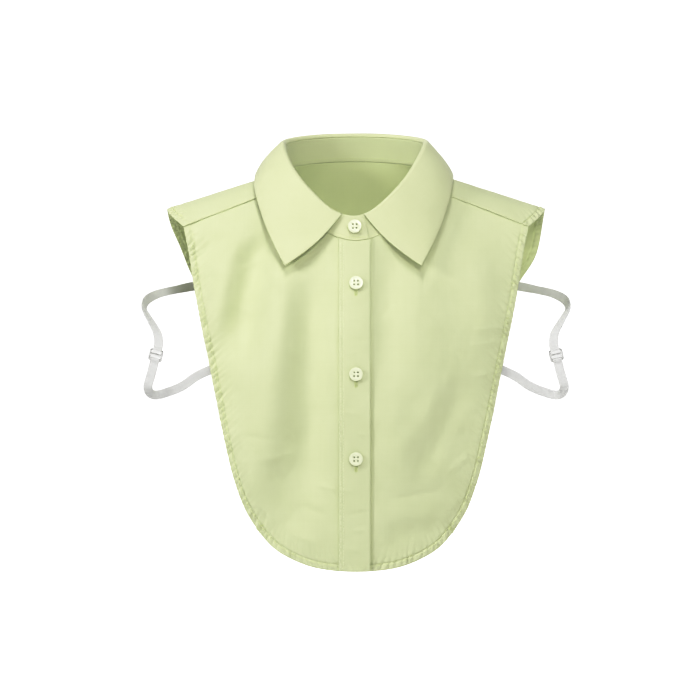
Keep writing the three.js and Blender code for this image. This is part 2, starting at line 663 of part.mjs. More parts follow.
const standRise = (NECK_FRONT_DROP - STAND_BUTTON_DROP - STAND_SEAT) / STAND_HEIGHT_FRONT;
const standNormal = new THREE.Vector3(0, -STAND_HEIGHT_FRONT, STAND_LEAN).normalize();
const standSeat = standPoint(-Math.PI, standRise, COLLAR_WALL / 2);
placeButton('button_1', standSeat, standNormal);
for (const [i, drop] of BAND_BUTTON_DROPS.entries()) {
  const z = -drop;
  const slope = (chest(0, z + 1) - chest(0, z - 1)) / 2;
  const normal = new THREE.Vector3(0, -1, slope).normalize();
  const seat = new THREE.Vector3(0, chest(0, z) - BAND_OFFSET, z);
  placeButton(`button_${i + 2}`, seat.addScaledVector(normal, PLACKET_WALL / 2), normal);
}

for (const [side, name] of [[-1, 'right'], [1, 'left']]) {
  add(`strap_${name}`, wallOn(strapSurface(side), 1, STRAP_STEPS, STRAP_WALL), elastic());
  const strap = strapLine(side);
  const frame = frameOn(strap, strap.sliderPlace);
  const mesh = add(`slider_${name}`, slider(), plastic());
  const face = new THREE.Vector3().crossVectors(frame.across, frame.along);
  mesh.quaternion.setFromRotationMatrix(new THREE.Matrix4().makeBasis(frame.across, frame.along, face));
  mesh.position.copy(frame.middle);
}

export default group;
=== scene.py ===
# %% [markdown]
# # A bib collar in lime-green cotton
# The object is a shirt collar with a short buttoned front and back, held by two elastic straps.
# The imported CAD model is the fixed frame. Each cloth is laid by the same rule as its solid in the
# CAD source, whose sizes and short tables are repeated here. Three things are the scene's own: the
# drape, the route of the straps and the set of the collar's front. Work is in millimetres, and a
# mesh is made metres when it is finished.
# %% Load the frame
import math

import bpy
import numpy as np
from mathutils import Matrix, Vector, noise
from mathutils.bvhtree import BVHTree
from mathutils.kdtree import KDTree


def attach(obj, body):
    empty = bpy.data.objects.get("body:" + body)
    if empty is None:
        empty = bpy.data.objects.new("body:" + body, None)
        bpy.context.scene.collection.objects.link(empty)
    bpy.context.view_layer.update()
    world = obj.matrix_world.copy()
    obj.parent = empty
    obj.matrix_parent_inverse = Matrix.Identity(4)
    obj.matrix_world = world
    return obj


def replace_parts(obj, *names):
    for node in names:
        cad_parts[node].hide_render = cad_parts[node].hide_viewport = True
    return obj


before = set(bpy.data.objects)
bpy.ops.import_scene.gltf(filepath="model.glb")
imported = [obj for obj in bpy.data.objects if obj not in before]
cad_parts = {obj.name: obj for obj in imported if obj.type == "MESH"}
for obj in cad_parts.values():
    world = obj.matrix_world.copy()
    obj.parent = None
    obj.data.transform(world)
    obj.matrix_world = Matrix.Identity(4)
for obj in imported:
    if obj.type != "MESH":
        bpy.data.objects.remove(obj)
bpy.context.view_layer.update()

MM = 0.001

# %% [markdown]
# ## Sizes and tables of the CAD source
# A hand-drawn edge could be a spline object, but a table that is read on a smooth curve gives the
# same line here and in the source.
# %% Repeat the source's sizes
GAP = 0.3
CLOTH = 1.0
PLACKET_WALL = 1.3
COLLAR_WALL = 1.6
NECK_HALF_WIDTH = 68
NECK_FRONT_REACH = 66
NECK_BACK_REACH = 50
NECK_FRONT_DROP = 64
NECK_BACK_RISE = 10
NECK_FRONT_SWEEP = 1.6
STAND_HEIGHT_BACK = 21.5
STAND_HEIGHT_FRONT = 24
STAND_LEAN = 4
STAND_OVERLAP = 11.5
STAND_END_RADIUS = 9
ROLL_RADIUS = 2.3
LEAF_GAP_HALF = 11
POINT_OUT = 62.5
POINT_DROP = 86.5
POINT_LIFT = 7
LEAF_SHOULDER_OUT = 91
LEAF_SHOULDER_LIFT = 3.4
LEAF_SWELL = 3
LEAF_BOW = 3.5
LEAF_BACK_REACH = 64
LEAF_BACK_DROP = 10
SHOULDER_HALF_WIDTH = 174
SHOULDER_DROP = 34
SEAM_FORWARD = 24
SEAM_OUTER_DROP = 50.5
CHEST_DEPTH = 92
CHEST_WRAP = 35
BIB_HALF_WIDTH = 148
BIB_DROP = 366
BACK_DEPTH = 62
BACK_DROP = 222
BACK_BULGE = 9
PLACKET_WIDTH = 29
PLACKET_OVER = 13
EDGE_UNDER_BAND = 8
BUTTON_DIAMETER = 14
BUTTON_THICKNESS = 2.4
BUTTON_SHANK = 0.6
STAND_BUTTON_DROP = 51
BAND_BUTTON_DROPS = [103, 186, 263]
STRAP_WIDTH = 8.3
STRAP_WALL = 0.8
STRAP_REACH = 46.5
STRAP_TUCK = 10
STRAP_BACK_DROP = 104.5
STRAP_FRONT_DROP = 181.5
SLIDER_WIDTH = 12.6
SLIDER_HEIGHT = 10.6
SLIDER_BAR = 1.5
SLIDER_WALL = 1.2
SLIDER_CORNER = 2.2
SLIDER_ROW = 8
BIB_CORNER = 0.74

BIB_EDGE = [
    [0.000, 1.071, 0.000],
    [0.064, 1.036, 0.078],
    [0.152, 1.000, 0.184],
    [0.355, 0.895, 0.429],
    [0.558, 0.786, 0.674],
    [0.627, 0.737, 0.756],
    [0.698, 0.665, 0.837],
    [0.780, 0.538, 0.919],
    [0.838, 0.413, 0.960],
    [0.909, 0.239, 0.990],
    [1.000, 0.000, 1.000],
    [1.091, -0.239, 0.990],
]
CHEST_PROFILE = [
    [-0.25, -0.72],
    [0.00, 0.00],
    [0.14, 0.46],
    [0.29, 0.84],
    [0.46, 1.00],
    [0.66, 0.97],
    [0.85, 0.87],
    [1.00, 0.76],
]
BACK_EDGE = [
    [0.19, 1.000, 0.03, 0.000],
    [0.30, 0.990, 0.26, 0.055],
    [0.38, 0.972, 0.44, 0.122],
    [0.46, 0.926, 0.62, 0.247],
    [0.54, 0.863, 0.73, 0.356],
    [0.62, 0.785, 0.81, 0.500],
    [0.70, 0.690, 0.88, 0.662],
    [0.79, 0.540, 0.94, 0.820],
    [0.89, 0.300, 0.98, 0.950],
    [1.00, 0.000, 1.00, 1.000],
    [1.11, -0.300, 0.98, 0.950],
]
LEAF_EDGE_FRONT = [
    [0.00, 0.00, 0.00, 0.00],
    [0.10, 0.35, 0.20, 0.23],
    [0.20, 0.67, 0.38, 0.49],
    [0.29, 0.91, 0.56, 0.75],
    [0.37, 1.00, 0.77, 0.92],
    [0.45, 1.00, 1.00, 1.00],
]
LEAF_EDGE_BACK = [
    [0.45, 1.00, 0.00, 0.00],
    [0.56, 0.90, 0.36, 0.02],
    [0.70, 0.68, 0.70, 0.30],
    [0.85, 0.36, 0.93, 0.76],
    [1.00, 0.00, 1.00, 1.00],
    [1.15, -0.36, 0.93, 0.76],
]

# %% [markdown]
# ## Tables that are the scene's own
# Thin cloth falls softer than its thick solid. The drape could be simulated, but a table of ridges
# and valleys puts each fold where the photo has it. The straps' route differs from the source's in
# its depths and its lower turn, by up to 11 mm.
# %% The drape and the route of the straps
# Both ends across and down in mm from the origin, then half width and rise, a valley below zero.
DRAPE = [
    [-108, 36, -134, 158, 13, 6.4],
    [-80, 36, -106, 178, 18, -12.5],
    [-66, 46, -92, 312, 22, 10.2],
    [-38, 66, -46, 324, 20, -8.8],
    [-98, 32, -160, 66, 7, 2.0],
    [-94, 46, -156, 86, 7, -2.4],
    [-24, 100, -24, 285, 13, 2.2],
    [62, 80, 60, 210, 21, 1.8],
    [30, 60, 27, 200, 16, -3.6],
    [34, 200, 42, 300, 16, 2.2],
    [88, 180, 36, 268, 9, 1.3],
    [101, 192, 54, 286, 9, -1.6],
    [134, 200, 106, 302, 18, 2.6],
    [104, 60, 122, 170, 18, 2.0],
    [20, 318, 86, 312, 11, 1.0],
    [24, 332, 84, 325, 11, -0.9],
    [-120, 210, -86, 322, 12, 2.0],
    [-78, 262, -50, 330, 10, -1.6],
]
# Shares out, forward and down, then the way the strap's width runs: inward, backward and up.
STRAP_ROUTE = [
    [0.36, 0.08, 0.04, 0.21, -0.50, -0.84],
    [0.72, 0.17, 0.09, 0.31, -0.45, -0.84],
    [0.92, 0.29, 0.15, 0.50, -0.05, -0.86],
    [1.00, 0.51, 0.23, 0.50, 0.30, -0.80],
    [0.96, 0.71, 0.32, 0.47, 0.86, -0.02],
    [0.84, 0.83, 0.44, 0.58, 0.78, 0.22],
    [0.72, 0.93, 0.58, 0.88, 0.36, 0.14],
    [0.70, 0.98, 0.70, 0.98, 0.00, -0.18],
    [0.75, 1.02, 0.83, 0.98, 0.00, -0.20],
    [0.80, 1.06, 0.96, 0.97, 0.00, -0.22],
    [0.86, 1.09, 1.10, 0.97, 0.00, -0.24],
    [0.90, 1.10, 1.185, 0.98, 0.00, -0.05],
    [0.895, 1.09, 1.242, 0.94, 0.00, 0.28],
    [0.855, 1.07, 1.281, 0.71, 0.00, 0.70],
    [0.785, 1.05, 1.300, 0.15, 0.00, 0.99],
    [0.69, 1.03, 1.298, -0.18, 0.00, 0.98],
    [0.54, 1.02, 1.273, -0.38, 0.00, 0.92],
    [0.24, 1.01, 1.20, -0.48, 0.00, 0.88],
    [-0.05, 1.00, 1.08, -0.48, 0.00, 0.88],
]
print("folds", len(DRAPE), "and points of a strap", len(STRAP_ROUTE))


# %% Read a table and measure with arrays
def mix(start, end, share):
    return start + (end - start) * share


def smoothstep(value, low, high):
    share = np.clip((value - low) / (high - low), 0, 1)
    return share * share * (3 - 2 * share)


def point(x, y, z):
    return np.stack(np.broadcast_arrays(x, y, z), axis=-1).astype(float)


def unit(vectors):
    return vectors / np.linalg.norm(vectors, axis=-1, keepdims=True)


def hump(value, centre, width):
    return np.exp(-(((value - centre) / width) ** 2))


def line_lengths(line):
    """How far along a line of points each of them lies."""
    return np.concatenate([[0], np.cumsum(np.linalg.norm(np.diff(line, axis=0), axis=1))])


def read_table(table, place):
    """The other columns at places in the first one, on a smooth curve through the rows."""
    table = np.array(table)
    last = len(table) - 1
    row = np.searchsorted(table[1:last, 0], place)
    before, start = table[np.maximum(row - 1, 0)], table[row]
    end, after = table[row + 1], table[np.minimum(row + 2, last)]
    span = (end[..., :1] - start[..., :1])
    f = (np.asarray(place)[..., None] - start[..., :1]) / span
    start_slope = span * (end - before) / (end[..., :1] - before[..., :1])
    end_slope = span * (after - start) / (after[..., :1] - start[..., :1])
    value = (
        (2 * f**3 - 3 * f**2 + 1) * start
        + (f**3 - 2 * f**2 + f) * start_slope
        + (3 * f**2 - 2 * f**3) * end
        + (f**3 - f**2) * end_slope
    )
    return np.moveaxis(value[..., 1:], -1, 0)


def place_where(is_before, low, high):
    """The places between low and high up to which is_before holds, by halving."""
    for _ in range(30):
        middle = (low + high) / 2
        before = is_before(middle)
        low = np.where(before, middle, low)
        high = np.where(before, high, middle)
    return low


# %% [markdown]
# ## The surfaces
# Every cloth is a rule that turns two shares, across and down, into a place. The neck seam is a
# closed curve round the neck. The front hangs from it and from the shoulder seam, and bulges
# forward over the chest. The back lies over the shoulders.
# %% Neck seam and fronts
def neck_seam(angle):
    back = np.cos(angle)
    reach = np.where(back > 0, NECK_BACK_REACH, NECK_FRONT_REACH)
    dip = -NECK_FRONT_DROP * np.maximum(-back, 0) ** NECK_FRONT_SWEEP
    height = np.where(back > 0, NECK_BACK_RISE * back, dip)
    return point(NECK_HALF_WIDTH * np.sin(angle), reach * back, height)


def neck_outward(angle):
    reach = np.where(np.cos(angle) > 0, NECK_BACK_REACH, NECK_FRONT_REACH)
    return unit(point(np.sin(angle) * reach, np.cos(angle) * NECK_HALF_WIDTH, 0))


NECK_SEAM_ANGLE = math.acos(-SEAM_FORWARD / NECK_FRONT_REACH)


def bib_edge(way):
    out, down = read_table(BIB_EDGE, way)
    return BIB_HALF_WIDTH * out, -mix(SEAM_OUTER_DROP, BIB_DROP, down)


def way_along_hem(out):
    return place_where(lambda way: bib_edge(way)[0] > out, BIB_CORNER, 1.0)


def folds(x, z, table):
    """Height of soft ridges and valleys, each a row of a table, that fade out at their ends."""
    total = 0
    for x0, drop0, x1, drop1, half_width, rise in table:
        run_x, run_z = x1 - x0, drop0 - drop1
        from_x, from_z = x - x0, z + drop0
        along = (from_x * run_x + from_z * run_z) / (run_x**2 + run_z**2)
        fade = smoothstep(along, -0.08, 0.3) * smoothstep(-along, -1.08, -0.7)
        away = (from_x * run_z - from_z * run_x) / np.hypot(run_x, run_z) / half_width
        total = total + rise * fade * np.exp(-(away**2))
    return total


def chest(x, z):
    share = (-z - NECK_FRONT_DROP) / (BIB_DROP - NECK_FRONT_DROP)
    reach = mix(NECK_FRONT_REACH, CHEST_DEPTH, read_table(CHEST_PROFILE, share)[0])
    wrap = CHEST_WRAP * np.abs(x / BIB_HALF_WIDTH) ** 2.2
    drape = folds(x, z, DRAPE)
    return wrap - reach - drape * smoothstep(share, -0.1, 0.06)


NECK_SHARE = 6 / 13  # of a front's top edge lies along the neck seam


def front_top(across, inner):
    near_centre = math.pi - math.asin(inner / NECK_HALF_WIDTH)
    on_neck = neck_seam(mix(near_centre, NECK_SEAM_ANGLE, np.minimum(across / NECK_SHARE, 1)))
    start = neck_seam(NECK_SEAM_ANGLE)
    out, height = bib_edge(0)
    end = point(out, -SEAM_FORWARD, height)
    along = np.maximum((across - NECK_SHARE) / (1 - NECK_SHARE), 0)[..., None]
    return np.where(across[..., None] < NECK_SHARE, on_neck, mix(start, end, along))


def front_surface(side, inner):
    foot = way_along_hem(inner)
    outer = front_top(np.array(1.0), inner)
    corner = bib_edge(BIB_CORNER)

    def surface(across, down):
        top = front_top(across, inner)
        hem = bib_edge(mix(foot, BIB_CORNER, across))
        edge = bib_edge(mix(0, BIB_CORNER, down))
        place = []
        for k, axis in enumerate((0, 2)):
            spread = across * (edge[k] - mix(outer[axis], corner[k], down))
            place.append(mix(top[..., axis], hem[k], down) + spread)
        x, z = side * place[0], place[1]
        pull = top[..., 1] - chest(side * top[..., 0], top[..., 2])
        return point(x, chest(x, z) + pull * (1 - down) ** 6, z)

    return surface


BAND_UNDER = PLACKET_WIDTH - PLACKET_OVER
BAND_OFFSET = CLOTH / 2 + 2 * GAP + PLACKET_WALL / 2


def band_surface(across, down):
    x = mix(-BAND_UNDER, PLACKET_OVER, across)
    top = neck_seam(math.pi - np.arcsin(x / NECK_HALF_WIDTH))[..., 2]
    bottom = bib_edge(way_along_hem(np.abs(x)))[1]
    z = mix(top, bottom, down)
    return point(x, chest(x, z) - BAND_OFFSET, z)


# %% [markdown]
# ## The back's surface
# The back could be a front and a yoke sewn together, but the photo shows no seam behind. So one
# rule runs from seam to seam, and past each shoulder's tip its edge bends over to the front.
# %% Back
YOKE_LAP = 1.2  # the back is lapped this far over the fronts at the shoulder seam
ARMHOLE_DROP = 76  # the armholes' edges stand to the wearer's left about this low
ARMHOLE_SHIFT = 3.4  # and by this much, because in the photo they aren't quite alike


def back_edge(turn):
    tip = BACK_EDGE[0]
    out, back, down = read_table(BACK_EDGE, np.maximum(turn, tip[0]))
    height = -mix(SHOULDER_DROP, BACK_DROP, down)
    hem = point(SHOULDER_HALF_WIDTH * out, BACK_DEPTH * back, height)
    seam_out, seam_height = bib_edge(0)
    f = np.clip(turn / tip[0], 0, 1)
    bend = np.sin(f * math.pi / 2)
    lap = point(
        mix(seam_out, SHOULDER_HALF_WIDTH, bend),
        mix(-YOKE_LAP - SEAM_FORWARD, BACK_DEPTH * tip[2], f),
        mix(seam_height, -SHOULDER_DROP, mix(f, bend, 0.45)),
    )
    return np.where((turn >= tip[0])[..., None], hem, lap)


def back_surface(around, out):
    turn = 1 - np.abs(2 * around - 1)
    seam_angle = NECK_SEAM_ANGLE + YOKE_LAP / NECK_FRONT_REACH
    place = mix(neck_seam(seam_angle * (1 - turn)), back_edge(turn), out[..., None])
    fullness = BACK_BULGE * np.sin(math.pi * out) * smoothstep(turn, 0.2, 0.7)
    place[..., 1] += fullness * 0.8
    place[..., 2] += fullness * 0.5
    place[..., 0] *= np.where(around < 0.5, -1, 1)
    shift = ARMHOLE_SHIFT * hump(place[..., 2], -ARMHOLE_DROP, 22)
    place[..., 0] += shift * out**4 * smoothstep(turn, 0.19, 0.4)
    return place


# %% [markdown]
# ## The collar's surfaces
# The stand rises from the neck seam and leans in. The leaf starts on the stand's top, rolls over it
# and falls to an edge of its own. A sheet bent by modifiers would do for the leaf, but its points
# have to lie on the chest, so each column is a roll and then a curve to a place on the edge.
# %% Collar
STAND_LAYER = (COLLAR_WALL + GAP) / 2
STAND_SEAT = CLOTH / 2 + 3 * GAP
STAND_TURN = math.pi + math.asin(STAND_OVERLAP / NECK_HALF_WIDTH)
LEAF_TURN = math.pi - math.asin(LEAF_GAP_HALF / NECK_HALF_WIDTH)
ROLL_SHARE = 4 / 9  # of the way down the leaf is the roll over the stand
LEAF_FALL = 60  # about how far the leaf falls from its roll
LEAF_SINK = 4.6  # and how far its front corners sink beside the button
COLLAR_SHIFT = 2.6  # the collar's front stands this far to the wearer's right
SHIFT_FADE = (0.3, 0.65)  # of the way from front to back, where that shift fades out
UNDER_TUCK = 2.8  # the stand's end that lies under is tucked in this far
STAND_FRONT_DIP = 2.4  # the stand's top is this much lower at the front
LEAF_FRONT = 0.17  # of the way to the back counts as the leaf's front
ROLL_TIGHTER = 0.35  # the roll is tighter by this share at the front


def stand_point(angle, rise, out=0):
    front_share = (1 - np.cos(angle)) / 2
    from_end = (STAND_TURN - np.abs(angle)) * NECK_HALF_WIDTH
    corner = np.maximum(STAND_END_RADIUS - from_end, 0)
    rounding = STAND_END_RADIUS - np.sqrt(np.maximum(STAND_END_RADIUS**2 - corner**2, 0))
    height = mix(STAND_HEIGHT_BACK, STAND_HEIGHT_FRONT, front_share) - rounding
    place = neck_seam(angle)
    place[..., 2] += STAND_SEAT + height * rise
    turn = 1 - np.abs(angle) / math.pi
    place[..., 0] -= COLLAR_SHIFT * rise * (1 - smoothstep(turn, *SHIFT_FADE))
    tuck = UNDER_TUCK * np.maximum(rise, 0) * smoothstep(angle, math.pi * 0.8, math.pi * 0.93)
    layer = -STAND_LAYER * angle / STAND_TURN - tuck
    return place + neck_outward(angle) * (layer + out - STAND_LEAN * rise)[..., None]


def stand_surface(around, up):
    return stand_point(mix(STAND_TURN, -STAND_TURN, around), up)


def leaf_edge(turn):
    tip = np.array([POINT_OUT, chest(POINT_OUT, -POINT_DROP) - POINT_LIFT, -POINT_DROP])
    share = (LEAF_SHOULDER_OUT - NECK_HALF_WIDTH) / (SHOULDER_HALF_WIDTH - NECK_HALF_WIDTH)
    shoulder = np.array([LEAF_SHOULDER_OUT, 0, LEAF_SHOULDER_LIFT - SHOULDER_DROP * share])
    split = LEAF_EDGE_BACK[0][0]
    out, along, up = read_table(LEAF_EDGE_FRONT, np.minimum(turn, split))
    shares = enumerate((out, along, up))
    front = point(*(mix(tip[k], shoulder[k], share) for k, share in shares))
    out, along, up = read_table(LEAF_EDGE_BACK, np.maximum(turn, split))
    height = mix(shoulder[2], -LEAF_BACK_DROP, up)
    back = point(shoulder[0] * out, mix(0, LEAF_BACK_REACH, along), height)
    return np.where((turn < split)[..., None], front, back)


def leaf_surface(around, down):
    angle = mix(LEAF_TURN, -LEAF_TURN, around)
    side = np.where(angle < 0, -1, 1)
    turn = 1 - np.abs(angle) / LEAF_TURN
    outward = neck_outward(angle)
    at_front = 1 - smoothstep(turn, 0, LEAF_FRONT)
    roll = ROLL_RADIUS * (1 - ROLL_TIGHTER * at_front)
    root = stand_point(angle, np.ones_like(angle))
    root[..., 2] += 0.8 * smoothstep(down, 0, 0.1) - LEAF_SINK * at_front
    end = leaf_edge(turn)
    end[..., 0] = end[..., 0] * side - COLLAR_SHIFT * (1 - smoothstep(turn, *SHIFT_FADE))
    straight = unit(end - root - outward * 2 * roll[..., None])
    leaving = np.sum(straight * outward, axis=-1) + 2 * LEAF_SWELL / LEAF_FALL
    reach = np.arctan2(leaving, -straight[..., 2])
    last_bend = math.pi - np.clip(reach, 0, 1.4)
    bend = last_bend * np.clip(down / ROLL_SHARE, 0, 1)
    start = root + outward * (roll * (1 - np.cos(bend)))[..., None]
    start[..., 2] += roll * np.sin(bend)
    bow = point(side * straight[..., 2], 0, -side * straight[..., 0])
    swell = 2 * LEAF_SWELL * smoothstep(turn, 0, 0.3)
    bowing = 2 * LEAF_BOW * (1 - smoothstep(turn, 0, 0.12))
    control = (start + end) / 2 + outward * swell[..., None] + bow * bowing[..., None]
    f = np.clip((down - ROLL_SHARE) / (1 - ROLL_SHARE), 0, 1)[..., None]
    return start * (1 - f) ** 2 + control * 2 * f * (1 - f) + end * f**2


print("neck opening", 2 * NECK_HALF_WIDTH, "mm wide; front", BIB_DROP, "mm deep")


# %% [markdown]
# ## From a surface to a cloth
# A Solidify modifier would give an even wall with sharp rims. Real cloth has a folded hem, thicker
# than the rest and round at its edge, so the wall is made here: two sheets either side of the
# middle, which close on each other in a half circle along every edge.
# %% Lines of a grid, closer at both ends
EDGE_STEPS = [0.08, 0.25, 0.55]  # mm from an edge, for its rounding


def grid_lines(length, pitch, keep=()):
    even = np.linspace(0, 1, max(int(round(length / pitch)), 2) + 1)
    near = np.array(EDGE_STEPS) / length
    inside = even[(even > near[-1] * 1.6) & (even < 1 - near[-1] * 1.6)]
    return np.unique(np.concatenate([[0, 1], near, 1 - near, inside, list(keep)]))


def closest_on(line, points):
    """Distance from each point to a line of points, and how far along the line that is."""
    tree = KDTree(len(line))
    for i, place in enumerate(line):
        tree.insert(place, i)
    tree.balance()
    flat = points.reshape(-1, 3)
    nearest = np.array([tree.find(place)[1] for place in flat])
    lengths = line_lengths(line)
    away = np.full(len(flat), np.inf)
    along = np.zeros(len(flat))
    for first in (np.maximum(nearest - 1, 0), np.minimum(nearest, len(line) - 2)):
        run = line[first + 1] - line[first]
        share = np.clip(np.sum((flat - line[first]) * run, axis=1) / np.sum(run**2, axis=1), 0, 1)
        gap = np.linalg.norm(flat - line[first] - run * share[:, None], axis=1)
        closer = gap < away
        place = lengths[first] + share * np.linalg.norm(run, axis=1)
        along = np.where(closer, place, along)
        away = np.minimum(away, gap)
    return away.reshape(points.shape[:-1]), along.reshape(points.shape[:-1])


def grid_normals(grid):
    across = np.gradient(grid, axis=1)
    down = np.gradient(grid, axis=0)
    return unit(np.cross(across, down))


def run_lengths(grid, axis):
    steps = np.linalg.norm(np.diff(grid, axis=axis), axis=2)
    pad = ((0, 0), (1, 0)) if axis == 1 else ((1, 0), (0, 0))
    return np.cumsum(np.pad(steps, pad), axis=axis)


# %% [markdown]
# ## One maker for every cloth
# The same function lays each cloth: it moves the middle by a relief, sets the two sheets on either
# side and joins them along the edges. It also writes the UV map in metres of thread, and marks the
# inner sheet, where the material paints shade as a greener, more saturated tone.
# %% Lay a cloth on its surface
def finish_piece(piece, material):
    piece.data.materials.clear()
    piece.data.materials.append(material)
    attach(piece, "root")
    return piece


def mesh_object(name, places, faces):
    mesh = bpy.data.meshes.new(name)
    mesh.from_pydata((np.asarray(places) * MM).tolist(), [], faces)
    mesh.polygons.foreach_set("use_smooth", [True] * len(mesh.polygons))
    piece = bpy.data.objects.new(name, mesh)
    bpy.context.scene.collection.objects.link(piece)
    return piece


def sew_cloth(name, surface, columns, rows, wall, facing, hem=None, relief=None, grain=None):
    """A closed cloth. hem picks the free edge from the grid; relief(cloth) gives shift and wall."""
    across, down = np.meshgrid(columns, rows)
    middle = surface(across, down)
    normal = grid_normals(middle)
    turned = 1 if normal[-1, len(columns) // 2] @ np.array(facing) > 0 else -1
    rows_run, columns_run = run_lengths(middle, 1), run_lengths(middle, 0)
    edge_gap = np.minimum.reduce(
        [rows_run, rows_run[:, -1:] - rows_run, columns_run, columns_run[-1:] - columns_run]
    )
    cloth = {"across": across, "down": down, "middle": middle, "wall": np.full(across.shape, wall)}
    if hem:
        line = hem(middle)
        cloth["away"], cloth["along"] = closest_on(line, middle)
        edge_gap = np.minimum(edge_gap, cloth["away"])
    if relief:
        shift, cloth["wall"] = relief(cloth)
        middle = middle + normal * (turned * shift)[..., None]
        normal = grid_normals(middle)
    half = cloth["wall"] / 2
    rounding = np.sqrt(np.clip(1 - (1 - np.clip(edge_gap / half, 0, 1)) ** 2, 0, 1))
    offset = normal * (half * rounding)[..., None]
    front = np.arange(across.size).reshape(across.shape)
    behind = front + across.size
    behind[[0, -1], :] = front[[0, -1], :]
    behind[:, [0, -1]] = front[:, [0, -1]]
    faces = []
    for index, order in ((front, (0, 1, 2, 3)), (behind, (3, 2, 1, 0))):
        corners = [index[:-1, :-1], index[:-1, 1:], index[1:, 1:], index[1:, :-1]]
        faces.append(np.stack([corners[k].ravel() for k in order], axis=1))
    faces = np.concatenate(faces)
    places = np.concatenate([(middle + offset).reshape(-1, 3), (middle - offset).reshape(-1, 3)])
    used = np.zeros(len(places), bool)
    used[faces.ravel()] = True
    renumber = np.cumsum(used) - 1
    piece = mesh_object(name, places[used], renumber[faces].tolist())
    grain_across, grain_down = grain(middle) if grain else (rows_run, columns_run)
    threads = np.stack([grain_across.ravel(), grain_down.ravel()], axis=1) * MM
    uv = np.concatenate([threads, threads])[used]
    layer = piece.data.uv_layers.new(name="threads")
    corner_vertex = np.zeros(len(piece.data.loops), np.int32)
    piece.data.loops.foreach_get("vertex_index", corner_vertex)
    layer.data.foreach_set("uv", uv[corner_vertex].astype(np.float32).ravel())
    # The inner sheet is marked for painted shade: the cotton gives it a greener, more saturated
    # tone.
    painted_shade_points = np.repeat([turned < 0, turned > 0], across.size)[used]
    marks = piece.data.attributes.new("inside_shade_mask", "FLOAT", "POINT")
    marks.data.foreach_set("value", painted_shade_points.astype(np.float32))
    cloth.update(piece=piece, middle=middle, normal=normal * turned)
    area = sum(polygon.area for polygon in piece.data.polygons) / 2
    size = [round(float(run.max())) for run in (rows_run, columns_run)]
    points = len(piece.data.vertices)
    print(name, size, "mm,", points, "points,", round(area, 5), "square metres of cloth")
    return cloth


# %% [markdown]
# ## Finishes
# The cotton is a fine plain weave with a soft sheen. An image texture would do, but a rule keeps
# its scale on every piece. Weave and slubs are node groups that only put out heights and masks.
# The threads follow the piece's own UV map, which is in metres along the cloth.
# %% Node helpers
def add_node(tree, kind, inputs=None, **settings):
    node = tree.nodes.new(kind)
    for key, value in settings.items():
        setattr(node, key, value)
    for key, value in (inputs or {}).items():
        if isinstance(value, bpy.types.NodeSocket):
            tree.links.new(value, node.inputs[key])
        else:
            node.inputs[key].default_value = value
    return node


def math_node(tree, operation, first, second=0.0, third=None):
    inputs = {0: first, 1: second}
    if third is not None:
        inputs[2] = third
    return add_node(tree, "ShaderNodeMath", inputs, operation=operation).outputs[0]


def noise_node(tree, place, scale, detail):
    inputs = {"Vector": place, "Scale": scale, "Detail": detail}
    return add_node(tree, "ShaderNodeTexNoise", inputs).outputs["Fac"]


def bump_node(tree, height, strength, distance, **normal):
    inputs = {"Height": height, "Strength": strength, "Distance": distance, **normal}
    return add_node(tree, "ShaderNodeBump", inputs).outputs[0]


def object_place(tree):
    return add_node(tree, "ShaderNodeTexCoord").outputs["Object"]


def new_group(name, inputs, outputs):
    group = bpy.data.node_groups.new(name, "ShaderNodeTree")
    for label, kind in inputs:
        group.interface.new_socket(label, in_out="INPUT", socket_type=kind)
    for label in outputs:
        group.interface.new_socket(label, in_out="OUTPUT", socket_type="NodeSocketFloat")
    return group, group.nodes.new("NodeGroupInput"), group.nodes.new("NodeGroupOutput")


# %% [markdown]
# ## Weave
# A plain weave is two waves at right angles. Where both are high a thread lies on top, so their
# product is the height. Stretched noise adds slubs, the thicker stretches of a cotton thread.
# %% Weave group
FLOAT = "NodeSocketFloat"
ALONG_THREAD, ACROSS_THREAD = 14.0, 900.0  # scales of the slubs, per metre


def make_weave_group():
    inputs = [("Threads", "NodeSocketVector"), ("Pitch", FLOAT), ("Unevenness", FLOAT)]
    group, given, result = new_group("plain_weave", inputs, ["Height", "Shade"])
    split = add_node(group, "ShaderNodeSeparateXYZ", {0: given.outputs["Threads"]})
    waves = []
    scales = ((ACROSS_THREAD, ALONG_THREAD, 1.0), (ALONG_THREAD, ACROSS_THREAD, 1.0))
    for axis, scale in enumerate(scales):
        stretched = {"Vector": given.outputs["Threads"], "Scale": scale}
        stretch = add_node(group, "ShaderNodeMapping", stretched)
        slub = noise_node(group, stretch.outputs[0], 1.0, 2.0)
        wander = math_node(group, "SUBTRACT", slub, 0.5)
        wander = math_node(group, "MULTIPLY", wander, given.outputs["Unevenness"])
        turns = math_node(group, "DIVIDE", split.outputs[axis], given.outputs["Pitch"])
        turns = math_node(group, "MULTIPLY", turns, 2 * math.pi)
        waves.append((math_node(group, "SINE", turns), wander))
    crossing = math_node(group, "MULTIPLY", waves[0][0], waves[1][0])
    height = math_node(group, "MULTIPLY_ADD", crossing, 0.5, 0.5)
    streak = math_node(group, "ADD", waves[0][1], waves[1][1])
    group.links.new(math_node(group, "ADD", height, streak), result.inputs["Height"])
    half = math_node(group, "MULTIPLY_ADD", crossing, 0.12, 0.5)
    group.links.new(math_node(group, "ADD", half, streak), result.inputs["Shade"])
    return group


plain_weave = make_weave_group()
